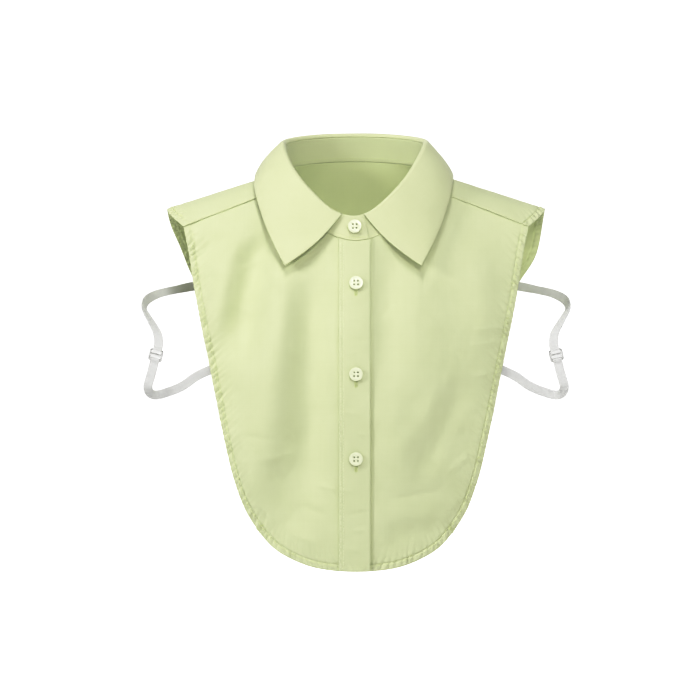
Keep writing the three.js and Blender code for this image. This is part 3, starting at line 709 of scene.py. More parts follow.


# %% [markdown]
# ## Cotton
# The right side is mixed from a light and a dark tone by the weave and by a slow mottle. The inner
# side gets painted shade, a greener, more saturated pair of tones. Two bumps lie on each other,
# soft crumples and the weave.
# %% Cotton
def new_material(name, roughness, **sockets):
    material = bpy.data.materials.new(name)
    material.use_nodes = True
    shader = material.node_tree.nodes["Principled BSDF"]
    shader.inputs["Roughness"].default_value = roughness
    for label, value in sockets.items():
        shader.inputs[label.replace("_", " ")].default_value = value
    return material, material.node_tree, shader


COTTON_LIGHT = (0.70, 0.74, 0.50)
COTTON_DARK = (0.61, 0.655, 0.40)
THREAD_PITCH = 0.00042


def mix_node_color(tree, mask, dark, light):
    tones = [t if isinstance(t, bpy.types.NodeSocket) else (*t, 1) for t in (dark, light)]
    inputs = {0: mask, 6: tones[0], 7: tones[1]}
    return add_node(tree, "ShaderNodeMix", inputs, data_type="RGBA").outputs[2]


def make_cotton(name, light, dark, inside_shade_tone, crumple_strength):
    sheen = {"Sheen_Weight": 0.35, "Sheen_Roughness": 0.45}
    material, tree, shader = new_material(name, 0.78, Specular_IOR_Level=0.45, **sheen)
    threads = add_node(tree, "ShaderNodeUVMap", uv_map="threads")
    weave = add_node(tree, "ShaderNodeGroup", node_tree=plain_weave)
    tree.links.new(threads.outputs[0], weave.inputs["Threads"])
    weave.inputs["Pitch"].default_value = THREAD_PITCH
    weave.inputs["Unevenness"].default_value = 0.35
    place = object_place(tree)
    mottle = noise_node(tree, place, 38.0, 3.0)
    mask = math_node(tree, "MULTIPLY", weave.outputs["Shade"], 0.55)
    mask = math_node(tree, "ADD", mask, math_node(tree, "MULTIPLY", mottle, 0.45))
    face = mix_node_color(tree, mask, dark, light)
    # On the inner side the colour is painted shade, a greener, more saturated pair of tones.
    inside_shade_mask = add_node(tree, "ShaderNodeAttribute", attribute_name="inside_shade_mask").outputs["Fac"]
    behind = mix_node_color(tree, mask, tuple(0.88 * tone for tone in inside_shade_tone), inside_shade_tone)
    tree.links.new(mix_node_color(tree, inside_shade_mask, face, behind), shader.inputs["Base Color"])
    soft = bump_node(tree, noise_node(tree, place, 120.0, 3.0), crumple_strength, 0.0012)
    fine = bump_node(tree, weave.outputs["Height"], 0.35, 0.00012, Normal=soft)
    tree.links.new(fine, shader.inputs["Normal"])
    return material


# The third tone of each cotton is the painted shade of its inner side.
cotton = make_cotton("cotton_poplin", COTTON_LIGHT, COTTON_DARK, (0.70, 0.76, 0.46), 0.16)
collar_cotton = make_cotton(
    "collar_cotton", (0.71, 0.745, 0.50), (0.63, 0.67, 0.41), (0.70, 0.745, 0.48), 0.08
)
print("finishes so far:", cotton.name, collar_cotton.name)

# %% [markdown]
# ## Hems, puckers and creases
# A hem is folded twice and sewn down, and the thread draws the cloth into short slanting ridges,
# one about every 6.6 mm here. They could be a bump map, but they break the light along the whole
# edge and show in the outline of the mesh, so they are moved points.
# %% Relief of a hemmed cloth
HEM_WIDTH = 6.0
HEM_WALL = 1.25
BODY_WALL = 0.75
PUCKER_PITCH = 6.6
PUCKER_RISE = 0.75
STITCH_DENT = 0.95  # the depth of the groove along a hem's stitches


def wobble(along, seed):
    """A smooth wandering value between about -1 and 1."""
    total = 0
    for k, (length, share) in enumerate(((31.0, 0.45), (53.0, 0.35), (17.0, 0.3))):
        total = total + share * np.sin(2 * math.pi * along / length + seed * (k + 1.7))
    return total


def puckers(away, along, seed):
    turns = (along + 0.55 * away) / PUCKER_PITCH + 0.35 * wobble(along, seed)
    ridge = np.sin(2 * math.pi * turns) + 0.3 * np.sin(4 * math.pi * turns + 0.7)
    stronger = mix(1.6, 0.85, smoothstep(along, 150, 250))  # on the armholes and the upper sides
    strength = (0.9 + 0.4 * wobble(along * 1.3, seed + 4)) * stronger
    on_hem = hump(away, HEM_WIDTH * 0.55, HEM_WIDTH * 0.42)
    beyond = 0.5 * np.exp(-np.maximum(away - HEM_WIDTH, 0) / 6.5) * smoothstep(away, 4, 8)
    dent = -STITCH_DENT * hump(away, HEM_WIDTH, 0.75)
    return (PUCKER_RISE * strength * ridge * (on_hem + beyond) + dent) * smoothstep(along, 2, 12)


def crumple(places, scale, seed):
    flat = places.reshape(-1, 3) / scale + seed
    return np.array([noise.noise(Vector(place)) for place in flat]).reshape(places.shape[:-1])


def hem_wall(away):
    return mix(HEM_WALL, BODY_WALL, smoothstep(away, HEM_WIDTH - 0.7, HEM_WIDTH + 0.5))


# %% [markdown]
# ## The two fronts
# Each front is one cut of cloth: neck edge and shoulder seam above, a side and a rounded bottom
# with one hem. The long soft folds are the table above, and small creases, in a table of the same
# kind, are added on top of them.
# %% Sew the fronts
CREASES = [
    [-108, 92, -86, 80, 2.6, 0.40],
    [-126, 62, -148, 96, 3.0, 0.45],
    [-118, 120, -94, 131, 3.2, 0.35],
    [-106, 242, -70, 246, 3.2, -0.45],
    [-92, 266, -52, 256, 3.8, 0.50],
    [-52, 304, -24, 316, 3.4, -0.55],
    [-36, 286, -17, 292, 2.6, 0.40],
    [-62, 330, -34, 341, 3.4, 0.45],
    [-96, 300, -72, 322, 3.0, 0.40],
    [30, 300, 78, 292, 3.2, -0.40],
    [24, 228, 44, 242, 3.0, 0.35],
    [20, 136, 34, 122, 3.4, -0.50],
    [78, 162, 106, 172, 3.8, -0.35],
    [84, 276, 104, 258, 3.0, 0.40],
    [98, 300, 82, 322, 3.0, -0.40],
    [104, 146, 138, 142, 3.0, 0.50],
    [100, 160, 136, 155, 3.0, 0.45],
    [102, 190, 128, 183, 3.0, 0.40],
]


def front_hem(grid, inside=0):
    last = -1 - inside
    return np.concatenate([grid[:, last], grid[last, ::-1][1:]])


def front_relief(seed):
    def relief(cloth):
        x, z = cloth["middle"][..., 0], cloth["middle"][..., 2]
        shift = puckers(cloth["away"], cloth["along"], seed)
        shift = shift + folds(x, z, CREASES)
        large, small = crumple(cloth["middle"], 30, seed), crumple(cloth["middle"], 10, seed + 3)
        shift = shift + 0.75 * large + 0.22 * small
        top_gap = run_lengths(cloth["middle"], 0)
        on_seam = smoothstep(cloth["across"], NECK_SHARE, NECK_SHARE + 0.02)
        shift = shift - 0.1 * np.exp(-top_gap / 2.5) * on_seam
        shift = shift - 1.1 * hump(x - PLACKET_OVER, 0.5, 1.4)
        return shift, hem_wall(cloth["away"])

    return relief


def chest_grain(grid):
    return grid[..., 0], grid[..., 2]


def finer_hem(length, pitch, keep=(), hem=15, hem_pitch=0.7):
    """Grid lines at one pitch, and at a finer pitch on the last few mm, where the hem is."""
    body, end = grid_lines(length, pitch, keep=keep), grid_lines(length, hem_pitch)
    return np.concatenate([body[body < 1 - hem / length], end[end >= 1 - hem / length]])


FRONT_COLUMNS = finer_hem(140, 1.4, keep=[NECK_SHARE])
FRONT_ROWS = finer_hem(330, 1.4)
fronts = {}
for side, name, inner in ((-1, "right", EDGE_UNDER_BAND), (1, "left", -(EDGE_UNDER_BAND - 1.2))):
    fronts[name] = sew_cloth(
        f"front_{name}_cloth",
        front_surface(side, inner),
        FRONT_COLUMNS,
        FRONT_ROWS,
        BODY_WALL,
        (0, -1, 0),
        hem=front_hem,
        relief=front_relief(1.7 + side),
        grain=chest_grain,
    )
    piece = finish_piece(fronts[name]["piece"], cotton)
    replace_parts(piece, f"front_{name}")


# %% [markdown]
# ## The button band
# The band is cloth folded on itself along its free edge and sewn down along the other, so it is
# thicker than the front and its free edge is round. Two rows of stitches hold the sewn edge.
# %% Sew the band
BAND_ROWS = [1.2, 3.8]  # mm from the sewn edge
BAND_CREASES = [
    [-14, 122, 4, 120, 2.2, 0.30],
    [-10, 134, 10, 138, 2.0, 0.25],
    [-6, 154, 12, 156, 1.9, -0.28],
    [-14, 170, 2, 166, 2.0, 0.25],
    [-13, 220, 5, 223, 2.4, 0.30],
    [0, 240, 12, 242, 1.9, 0.28],
    [-14, 291, -2, 293, 2.2, 0.34],
    [-9, 315, 12, 311, 2.5, -0.36],
    [-4, 329, 12, 327, 2.1, 0.32],
    [-12, 345, 6, 347, 2.2, 0.26],
]


def band_relief(cloth):
    x, z = cloth["middle"][..., 0], cloth["middle"][..., 2]
    shift = folds(x, z, BAND_CREASES) + 0.18 * crumple(cloth["middle"], 14, 5)
    for row in BAND_ROWS:
        shift = shift - 0.55 * hump(x + BAND_UNDER, row, 0.6)
    ripple = 0.14 * np.sin(2 * math.pi * z / 5.3 + wobble(z, 2))
    shift = shift + ripple * hump(x + BAND_UNDER, 2.8, 2.6)
    bottom_gap = run_lengths(cloth["middle"], 0)
    bottom_gap = bottom_gap[-1:] - bottom_gap
    shift = shift - 0.2 * hump(bottom_gap, HEM_WIDTH, 0.9)
    ripple = 0.2 * np.sin(2 * math.pi * (x + 0.5 * bottom_gap) / PUCKER_PITCH)
    shift = shift + ripple * hump(bottom_gap, 3.3, 2.6)
    return shift, np.full(x.shape, PLACKET_WALL)


band = sew_cloth(
    "band_cloth",
    band_surface,
    grid_lines(PLACKET_WIDTH, 0.8),
    grid_lines(300, 1.3),
    PLACKET_WALL,
    (0, -1, 0),
    relief=band_relief,
    grain=chest_grain,
)
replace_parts(finish_piece(band["piece"], cotton), "placket")


# %% [markdown]
# ## The back
# One cut from shoulder seam to shoulder seam. Its armhole edges and its bottom are one hem, and
# its front ends are lapped over the fronts at the shoulder seams.
# %% Sew the back
def back_hem(grid, inside=0):
    return grid[-1 - inside]


def back_relief(cloth):
    ends = run_lengths(cloth["middle"], 1)
    seam_gap = np.minimum(ends, ends[:, -1:] - ends)
    shift = puckers(cloth["away"], cloth["along"], 8.3) * 0.85
    shift = shift + 0.45 * crumple(cloth["middle"], 34, 9) + 0.12 * crumple(cloth["middle"], 10, 4)
    shift = shift + 0.1 * np.exp(-seam_gap / 5) - 0.25 * hump(seam_gap, 2.2, 0.8)
    shift = shift * smoothstep(cloth["down"], 0, 0.04)
    return shift, hem_wall(cloth["away"])


def back_grain(grid):
    return grid[..., 0], run_lengths(grid, 0)


back = sew_cloth(
    "back_cloth",
    back_surface,
    grid_lines(640, 1.6, keep=[0.095, 0.905]),
    finer_hem(175, 2.2),
    BODY_WALL,
    (0, 1, 0),
    hem=back_hem,
    relief=back_relief,
    grain=back_grain,
)
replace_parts(finish_piece(back["piece"], cotton), "back_panel")


# %% [markdown]
# ## Stand and leaf
# The stand is a stiffened strip round the neck with rounded ends that lap at the front. The leaf is
# sewn to its top and rolls over. Both are two cloths with a stiffener, so they keep a clean line.
# %% Sew the stand
STAND_LENGTH = 2 * STAND_TURN * NECK_HALF_WIDTH
END_COLUMNS = STAND_END_RADIUS * (1 - np.cos(np.linspace(0, math.pi / 2, 14))) / STAND_LENGTH
BETWEEN = np.linspace(END_COLUMNS[-1], 1 - END_COLUMNS[-1], 220)
STAND_COLUMNS = np.unique(np.concatenate([END_COLUMNS, 1 - END_COLUMNS, BETWEEN]))
STAND_LOW = -0.055  # the stand reaches down to the neck seam


def stand_lowered(around, up):
    place = stand_surface(around, mix(STAND_LOW, 1, up))
    angle = mix(STAND_TURN, -STAND_TURN, around)
    at_front = smoothstep(np.abs(angle), math.pi * 0.83, math.pi)
    place[..., 2] -= STAND_FRONT_DIP * at_front * up
    return place


def stand_relief(cloth):
    angle = cloth["across"] * 2 * STAND_TURN
    ripple = 0.12 * np.sin(angle * 9) * (1 - np.abs(2 * cloth["down"] - 1))
    shift = 0.2 * crumple(cloth["middle"], 20, 2) + ripple
    low = run_lengths(cloth["middle"], 0)
    return shift - 0.15 * hump(low, 3.2, 0.8), np.full(angle.shape, COLLAR_WALL * 0.92)


stand = sew_cloth(
    "stand_cloth",
    stand_lowered,
    STAND_COLUMNS,
    grid_lines(24, 1.0),
    COLLAR_WALL,
    (0, 1, 0),
    relief=stand_relief,
)
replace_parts(finish_piece(stand["piece"], collar_cotton), "collar_stand")


# %% Sew the leaf
def leaf_edges(grid):
    return np.concatenate([grid[:-1, 0], grid[-1], grid[-2::-1, -1]])


def leaf_relief(cloth):
    away = cloth["away"]
    shift = 0.55 * crumple(cloth["middle"], 26, 6) + 0.16 * crumple(cloth["middle"], 10, 12)
    shift = shift * smoothstep(cloth["down"], 0.1, 0.5)
    shift = shift - 0.05 * hump(away, 5.0, 0.8) * smoothstep(cloth["down"], 0.4, 0.6)
    return shift, mix(1.05, COLLAR_WALL, smoothstep(away, 0, 3.0))


leaf = sew_cloth(
    "leaf_cloth",
    leaf_surface,
    grid_lines(560, 1.8),
    np.unique(np.concatenate([grid_lines(72, 1.5), np.linspace(0, ROLL_SHARE, 15)])),
    COLLAR_WALL,
    (0, 1, 0),
    hem=leaf_edges,
    relief=leaf_relief,
)
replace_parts(finish_piece(leaf["piece"], collar_cotton), "collar_leaf")

# %% [markdown]
# ## Stitches
# Every hem and seam shows its thread. One stitch is a small sphere primitive with few faces, and
# it is copied along a row into one mesh, stretched along the row and half sunk in the cloth.
# %% Model one stitch and lay rows
STITCH_PITCH = 2.6
STITCH_LENGTH = 2.0
STITCH_THICK = 0.42


def fresh_start():
    if bpy.context.object and bpy.context.object.mode != "OBJECT":
        bpy.ops.object.mode_set(mode="OBJECT")
    bpy.ops.object.select_all(action="DESELECT")


def model_stitch():
    fresh_start()
    bpy.ops.mesh.primitive_uv_sphere_add(segments=6, ring_count=4, radius=0.5)
    blank = bpy.context.object
    places = np.array([corner.co for corner in blank.data.vertices])
    faces = [list(polygon.vertices) for polygon in blank.data.polygons]
    bpy.data.objects.remove(blank)
    return places, faces


stitch_places, stitch_faces = model_stitch()


def spaced(values, line, pitch):
    """The values of a line's points, read at an even pitch along it."""
    lengths = line_lengths(line)
    marks = np.arange(pitch / 2, lengths[-1], pitch)
    return np.stack([np.interp(marks, lengths, values[:, k]) for k in range(3)], axis=1)


def on_cloth(cloth, places, outward):
    """The nearest places on the face of a cloth that looks along outward, and its normals."""
    if "tree" not in cloth:
        mesh = cloth["piece"].data
        corners = [corner.co / MM for corner in mesh.vertices]
        faces = [polygon.vertices[:] for polygon in mesh.polygons]
        cloth["tree"] = BVHTree.FromPolygons(corners, faces)
    outward = np.broadcast_to(np.array(outward, float), places.shape)
    found = [cloth["tree"].find_nearest(Vector(place)) for place in places + outward * 3]
    return np.array([hit[0] for hit in found]), np.array([hit[1] for hit in found])


def row_inside(cloth, pick, inset):
    """A line that runs inset mm inside an edge of the grid, with the outward normals."""
    line, normal = pick(cloth["middle"]), pick(cloth["normal"])
    sideways = unit(np.cross(normal, np.gradient(line, axis=0)))
    inward = np.sum(sideways * (pick(cloth["middle"], 12) - line), axis=1, keepdims=True)
    return line + sideways * np.sign(inward) * inset, normal


def stitch_row(cloth, line, outward, pitch=STITCH_PITCH):
    places = spaced(line, line, pitch)
    if np.ndim(outward) > 1:
        outward = unit(spaced(outward, line, pitch))
    places, normals = on_cloth(cloth, places, outward)
    return places, normals, np.gradient(places, axis=0)


def lay_stitches(name, rows, material, length=STITCH_LENGTH, thick=STITCH_THICK):
    places, normals, runs = (np.concatenate(parts) for parts in zip(*rows))
    along = unit(runs - normals * np.sum(runs * normals, axis=1, keepdims=True))
    aside = np.cross(normals, along)
    x, y, z = (stitch_places[:, k][None, :, None] for k in range(3))
    corners = places[:, None] + along[:, None] * z * length
    corners = corners + aside[:, None] * x * thick + normals[:, None] * y * thick
    count = len(stitch_places)
    faces = [[k + count * i for k in face] for i in range(len(places)) for face in stitch_faces]
    piece = mesh_object(name, corners.reshape(-1, 3), faces)
    print(name, len(places), "stitches")
    return finish_piece(piece, material)


# %% [markdown]
# ## Thread
# Three threads: green in the hems, a dark one in buttons and slits, a pale one on the band. The
# dark
# one is partly painted shadow: it is real thread in the buttons' holes, but as dark as their
# shadow, and in the slits it is only painted shadow. A noise far finer than a stitch stands for the
# twist of the plies.
# %% Thread
def make_thread(name, light, dark):
    material, tree, shader = new_material(name, 0.6, Sheen_Weight=0.3, Specular_IOR_Level=0.4)
    place = object_place(tree)
    twist = noise_node(tree, place, 2600.0, 1.0)
    tree.links.new(mix_node_color(tree, twist, dark, light), shader.inputs["Base Color"])
    tree.links.new(bump_node(tree, twist, 0.4, 0.0001), shader.inputs["Normal"])
    return material


green_thread = make_thread("green_thread", (0.74, 0.80, 0.46), (0.58, 0.65, 0.31))
# The dark thread is painted shadow: over real thread in the buttons' holes, and on its own in the
# slits.
hole_shadow_thread = make_thread("hole_shadow_thread", (0.47, 0.51, 0.34), (0.36, 0.40, 0.25))
pale_thread = make_thread("pale_thread", (0.84, 0.87, 0.66), (0.76, 0.80, 0.57))

# %% [markdown]
# ## Rows of stitches
# A row could be drawn by hand, but a line at a fixed distance inside the grid's edge follows every
# pucker. A hem is stitched on both faces. The shoulder seams are two rows on the back's ends.
# %% Stitch the hems and seams
hemmed = [(side, fronts[side], front_hem) for side in ("right", "left")]
hemmed.append(("back", back, back_hem))
for name, cloth, pick in hemmed:
    line, normal = row_inside(cloth, pick, HEM_WIDTH)
    rows = [stitch_row(cloth, line, normal * face) for face in (1, -1)]
    if name == "back":
        for column in (3, -4):
            seam = back["middle"][:, column]
            further = back["middle"][:, column + (8 if column > 0 else -8)]
            seam = seam + unit(further - seam) * 1.6
            rows.append(stitch_row(back, seam[4:-2], back["normal"][4:-2, column]))
    lay_stitches(f"stitches_{name}", rows, green_thread)

down_band = np.linspace(0.01, 0.99, 300)
rows = []
for inset in BAND_ROWS:
    line = band_surface(np.full(300, inset / PLACKET_WIDTH), down_band)
    rows.append(stitch_row(band, line, (0, -1, 0)))
lay_stitches("stitches_band", rows, pale_thread)

around = np.linspace(0.004, 0.996, 900)
outward = neck_outward(mix(STAND_TURN, -STAND_TURN, around))
low_row = stand_lowered(around, np.full(900, 0.14))
rows = [stitch_row(stand, low_row, outward * face) for face in (1, -1)]
lay_stitches("stitches_stand", rows, green_thread)

# %% [markdown]
# ## What each cloth was cut from
# Each cloth is listed with the size of its cut, its area, how it is held and what it rests on; the
# loop below only reads each piece and does nothing more with the list. The sizes are rounded
# estimates, and the areas come from the meshes. The lengths printed above show that the stand, the
# fronts and the back are longer than the sizes listed for them.
for cloth, flat, area, held, rests_on, with_pieces in (
    (back, (0.41, 0.25), 0.071, "draped", (), ["back"]),
    (fronts["right"], (0.17, 0.34), 0.042, "draped", ["back_cloth"], ["right"]),
    (fronts["left"], (0.17, 0.34), 0.044, "draped", ["back_cloth"], ["left"]),
    (band, (0.03, 0.32), 0.0091, "folded", ["front_right_cloth"], ["band"]),
    (stand, (0.42, 0.03), 0.0104, "folded", ["back_cloth"], ["stand"]),
    (leaf, (0.5, 0.08), 0.0238, "folded", ["stand_cloth"], []),
):
    piece = cloth["piece"]


# %% [markdown]
# ## Buttons
# Four moulded buttons with a raised rim, a dish and four holes. One could be lathed with the Screw
# modifier, but a cylinder with insets shows each step of the shape. The holes are cut by a Boolean,
# and a Bevel rounds every edge.
# %% Model one button
BUTTON_RIM = 1.7
BUTTON_DISH = 0.7
BUTTON_HOLE = 1.7
BUTTON_HOLE_PITCH = 3.4
HOLE_PLACES = [
    (a * BUTTON_HOLE_PITCH / 2, b * BUTTON_HOLE_PITCH / 2) for a in (-1, 1) for b in (-1, 1)
]


def select_faces(piece, wanted):
    for polygon in piece.data.polygons:
        polygon.select = wanted(polygon)
    bpy.ops.object.mode_set(mode="EDIT")
    bpy.ops.mesh.select_mode(type="FACE")


def cut_away(piece, cutter):
    fresh_start()
    piece.select_set(True)
    bpy.context.view_layer.objects.active = piece
    hole = piece.modifiers.new("hole", "BOOLEAN")
    hole.operation, hole.solver, hole.object = "DIFFERENCE", "EXACT", cutter
    bpy.ops.object.modifier_apply(modifier="hole")
    bpy.data.objects.remove(cutter)


def round_edges(piece, width, segments, angle=0.6):
    fresh_start()
    piece.select_set(True)
    bpy.context.view_layer.objects.active = piece
    bevel = piece.modifiers.new("bevel", "BEVEL")
    bevel.width, bevel.segments = width, segments
    bevel.limit_method, bevel.angle_limit = "ANGLE", angle
    bpy.ops.object.modifier_apply(modifier="bevel")
    bpy.ops.object.shade_smooth_by_angle(angle=math.radians(50))


def model_button():
    fresh_start()
    radius, depth = BUTTON_DIAMETER / 2, BUTTON_THICKNESS
    bpy.ops.mesh.primitive_cylinder_add(vertices=56, radius=radius, depth=depth)
    button = bpy.context.object
    select_faces(button, lambda polygon: polygon.normal.z > 0.9)
    bpy.ops.mesh.inset(thickness=BUTTON_RIM)
    bpy.ops.mesh.inset(thickness=BUTTON_DISH, depth=-BUTTON_DISH)
    bpy.ops.object.mode_set(mode="OBJECT")
    round_edges(button, 0.38, 4)
    for x, y in HOLE_PLACES:
        radius, place = BUTTON_HOLE / 2, (x, y, 0)
        bpy.ops.mesh.primitive_cylinder_add(vertices=20, radius=radius, depth=8, location=place)
        cut_away(button, bpy.context.object)
    round_edges(button, 0.1, 2, 1.2)
    return button


button_model = model_button()
print("button", len(button_model.data.polygons), "faces")


# %% [markdown]
# ## Buttons in their places
# The one model is copied four times, each with a mesh of its own. Each copy is turned to the slope
# of the cloth under it and stands off by the length of its thread. Its resin is slightly cloudy.
# %% Place the buttons
def copy_placed(model, name, centre, axes):
    """A copy with its own mesh, turned to three axes and moved to its centre, in metres."""
    places = np.array([corner.co for corner in model.data.vertices]) @ np.array(axes) + centre
    mesh = model.data.copy()
    mesh.vertices.foreach_set("co", (places * MM).astype(np.float32).ravel())
    mesh.update()
    piece = bpy.data.objects.new(name, mesh)
    bpy.context.scene.collection.objects.link(piece)
    return piece


def slope_at(z):
    return (chest(np.array(0.0), np.array(z + 1)) - chest(np.array(0.0), np.array(z - 1))) / 2


def make_moulding(name, light, dark, roughness, scale):
    material, tree, shader = new_material(name, roughness, Coat_Weight=0.35, Coat_Roughness=0.15)
    place = object_place(tree)
    cloud = noise_node(tree, place, scale, 3.0)
    tree.links.new(mix_node_color(tree, cloud, dark, light), shader.inputs["Base Color"])
    wear = noise_node(tree, place, scale * 9, 2.0)
    rough = math_node(tree, "MULTIPLY_ADD", wear, 0.2, roughness - 0.1)
    tree.links.new(rough, shader.inputs["Roughness"])
    tree.links.new(bump_node(tree, wear, 0.08, 0.0002), shader.inputs["Normal"])
    return material


button_resin = make_moulding("button_resin", (0.85, 0.885, 0.65), (0.77, 0.81, 0.58), 0.3, 260.0)
stand_rise = (NECK_FRONT_DROP - STAND_BUTTON_DROP - STAND_SEAT) / STAND_HEIGHT_FRONT
seats = [
    (
        stand_point(np.array(-math.pi), np.array(stand_rise), COLLAR_WALL / 2),
        unit(np.array([0, -STAND_HEIGHT_FRONT, STAND_LEAN], float)),
    )
]
for drop in BAND_BUTTON_DROPS:
    normal = unit(np.array([0, -1, slope_at(-drop)]))
    middle = np.array([0, chest(np.array(0.0), np.array(-float(drop))) - BAND_OFFSET, -drop])
    seats.append((middle + normal * PLACKET_WALL / 2, normal))

button_frames = []
for number, (seat, normal) in enumerate(seats, start=1):
    axes = [[1, 0, 0], np.cross(normal, [1, 0, 0]), normal]
    centre = seat + normal * (BUTTON_SHANK + BUTTON_THICKNESS / 2)
    piece = copy_placed(button_model, f"button_{number}_moulded", centre, axes)
    finish_piece(piece, button_resin)
    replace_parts(piece, f"button_{number}")
    button_frames.append((centre, axes))
bpy.data.objects.remove(button_model)

# %% [markdown]
# ## Button threads
# A thread goes down through each of the four holes. Its ends are hidden, so each leg is one long
# upright stitch that reaches from the dish into the cloth. The thread's dark tone is partly painted
# shadow in the holes.
# %% Sew the buttons on
for number, (centre, (right, up, out)) in enumerate(button_frames, start=1):
    right, up = np.array(right, float), np.array(up)
    # The legs fill the holes, and their dark thread is partly painted shadow in the holes.
    legs = np.array([centre + right * x + up * y - out * 0.95 for x, y in HOLE_PLACES])
    rows = [(legs, np.repeat([up], 4, axis=0), np.repeat([out], 4, axis=0))]
    lay_stitches(f"button_thread_{number}", rows, hole_shadow_thread, length=4.0, thick=1.5)

# %% [markdown]
# ## Buttonholes
# A slit edged with close stitches. On the band it runs up and down, and its foot shows below each
# button. On the stand it runs across. The slit could be cut by a Boolean, but at this size a dark
# line of painted shadow between two rows looks the same and leaves the cloth's mesh whole.
# %% Work the buttonholes
HOLE_LENGTHS = [13.0, 15.5, 15.5, 15.5]
HOLE_STITCH = 0.42
rows, slits = [], []
for number, (seat, normal) in enumerate(seats, start=1):
    cloth, length = (stand if number == 1 else band), HOLE_LENGTHS[number - 1]
    run = np.array([1.0, 0, 0]) if number == 1 else unit(np.cross([1.0, 0, 0], normal))
    aside = np.cross(normal, run)
    middle = seat if number == 1 else seat - run * np.sign(run[2]) * 3.6
    marks = np.arange(-length / 2, length / 2, HOLE_STITCH)
    for shift in (-0.85, 0.85):
        places, normals = on_cloth(cloth, middle + run * marks[:, None] + aside * shift, normal)
        rows.append((places, normals, np.repeat([aside], len(marks), axis=0)))
    for end in (-1, 1):
        tack = np.arange(-1.2, 1.3, HOLE_STITCH)
        end_row = middle + run * end * length / 2 + aside * tack[:, None]
        places, normals = on_cloth(cloth, end_row, normal)
        rows.append((places, normals, np.repeat([run], len(tack), axis=0)))
    # Each slit is a row of dark stitches, a painted shadow of the opening.
    marks = np.arange(-length / 2 + 0.6, length / 2 - 0.6, 0.9)
    places, normals = on_cloth(cloth, middle + run * marks[:, None], normal)
    slits.append((places + normals * 0.02, normals, np.repeat([run], len(marks), axis=0)))
lay_stitches("buttonholes", rows, green_thread, length=1.5, thick=0.5)
lay_stitches("buttonhole_slit_shadows", slits, hole_shadow_thread, length=1.5, thick=0.42)

# %% [markdown]
# ## Elastic straps
# Each strap is a flat knitted elastic that leaves the back, turns over itself, passes through a
# slide and comes back to the front. A curve with a flat bevel would twist where it likes, so the
# ribbon is laid on a line with its own direction across at each point. The rule is the source's,
# the route is the scene's own table.
# %% Follow the strap's line
STRAP_SEAT = CLOTH / 2 + 3 * GAP + STRAP_WALL / 2
WEAVE = SLIDER_WALL / 2 + STRAP_WALL / 2 + 2.5 * GAP
BAR_PITCH = (SLIDER_HEIGHT - SLIDER_BAR) / 2
SLIDER_POINT = SLIDER_ROW + 2  # a strap's line has two points before the rows of the table


def inside_back(out, height):
    around = lambda turn: 1 - turn / 2
    out = np.array(out)
    above = lambda t: back_surface(around(t), out)[..., 2] > height
    turn = place_where(above, np.array(BACK_EDGE[0][0]), np.array(1.0))
    step = 0.002
    across = back_surface(around(turn) + step, out) - back_surface(around(turn) - step, out)
    further = back_surface(around(turn), np.minimum(out + step, 1))
    down = further - back_surface(around(turn), out - step)
    normal = unit(np.cross(across, down))
    return back_surface(around(turn), out) - np.sign(normal[1]) * normal * STRAP_SEAT


def inside_front(side, x, z):
    step = 0.5
    slope_x = (chest(side * (x + step), z) - chest(side * (x - step), z)) / (2 * step)
    slope_z = (chest(side * x, z + step) - chest(side * x, z - step)) / (2 * step)
    normal = unit(np.array([-slope_x, 1, -slope_z]))
    return np.array([x, chest(side * x, z), z]) + normal * STRAP_SEAT


def strap_line(side):
    start = inside_back(1.0, -STRAP_BACK_DROP)
    leave = inside_back(1 - STRAP_TUCK / SHOULDER_HALF_WIDTH, -STRAP_BACK_DROP)
    above = lambda way: bib_edge(way)[1] > -STRAP_FRONT_DROP
    way = place_where(above, np.array(0.0), np.array(BIB_CORNER))
    end_out = bib_edge(way)[0]
    end = inside_front(side, end_out, -STRAP_FRONT_DROP)
    arrive = inside_front(side, end_out - STRAP_TUCK, -STRAP_FRONT_DROP + STRAP_TUCK * 0.4)
    end_across = inside_front(side, end_out - 0.4, -STRAP_FRONT_DROP + 1) - end
    points, widths = [leave, start], [[0, 0.1, -1], [0, 0.1, -1]]
    for out, forward, down, inward, backward, up in STRAP_ROUTE:
        y, z = mix(start[1], end[1], forward), mix(start[2], end[2], down)
        points.append([BIB_HALF_WIDTH + STRAP_REACH * out, y, z])
        widths.append([-inward, backward, up])
    points += [end, arrive]
    widths += [end_across, end_across]
    return np.array(points) * [side, 1, 1], np.array(widths) * [side, 1, 1]


def curve_at(points, place):
    """Centripetal Catmull-Rom curve, as in the source, at shares of its points."""
    padded = np.concatenate([[2 * points[0] - points[1]], points, [2 * points[-1] - points[-2]]])
    row = np.minimum((place * (len(points) - 1)).astype(int), len(points) - 2)
    f = (place * (len(points) - 1) - row)[..., None]
    p0, p1, p2, p3 = (padded[row + k] for k in range(4))
    pairs = ((p0, p1), (p1, p2), (p2, p3))
    d0, d1, d2 = (np.sqrt(np.linalg.norm(b - a, axis=-1, keepdims=True)) for a, b in pairs)
    t1 = ((p1 - p0) / d0 - (p2 - p0) / (d0 + d1) + (p2 - p1) / d1) * d1
    t2 = ((p2 - p1) / d1 - (p3 - p1) / (d1 + d2) + (p3 - p2) / d2) * d1
    square, cube = -3 * p1 + 3 * p2 - 2 * t1 - t2, 2 * p1 - 2 * p2 + t1 + t2
    return p1 + t1 * f + square * f**2 + cube * f**3


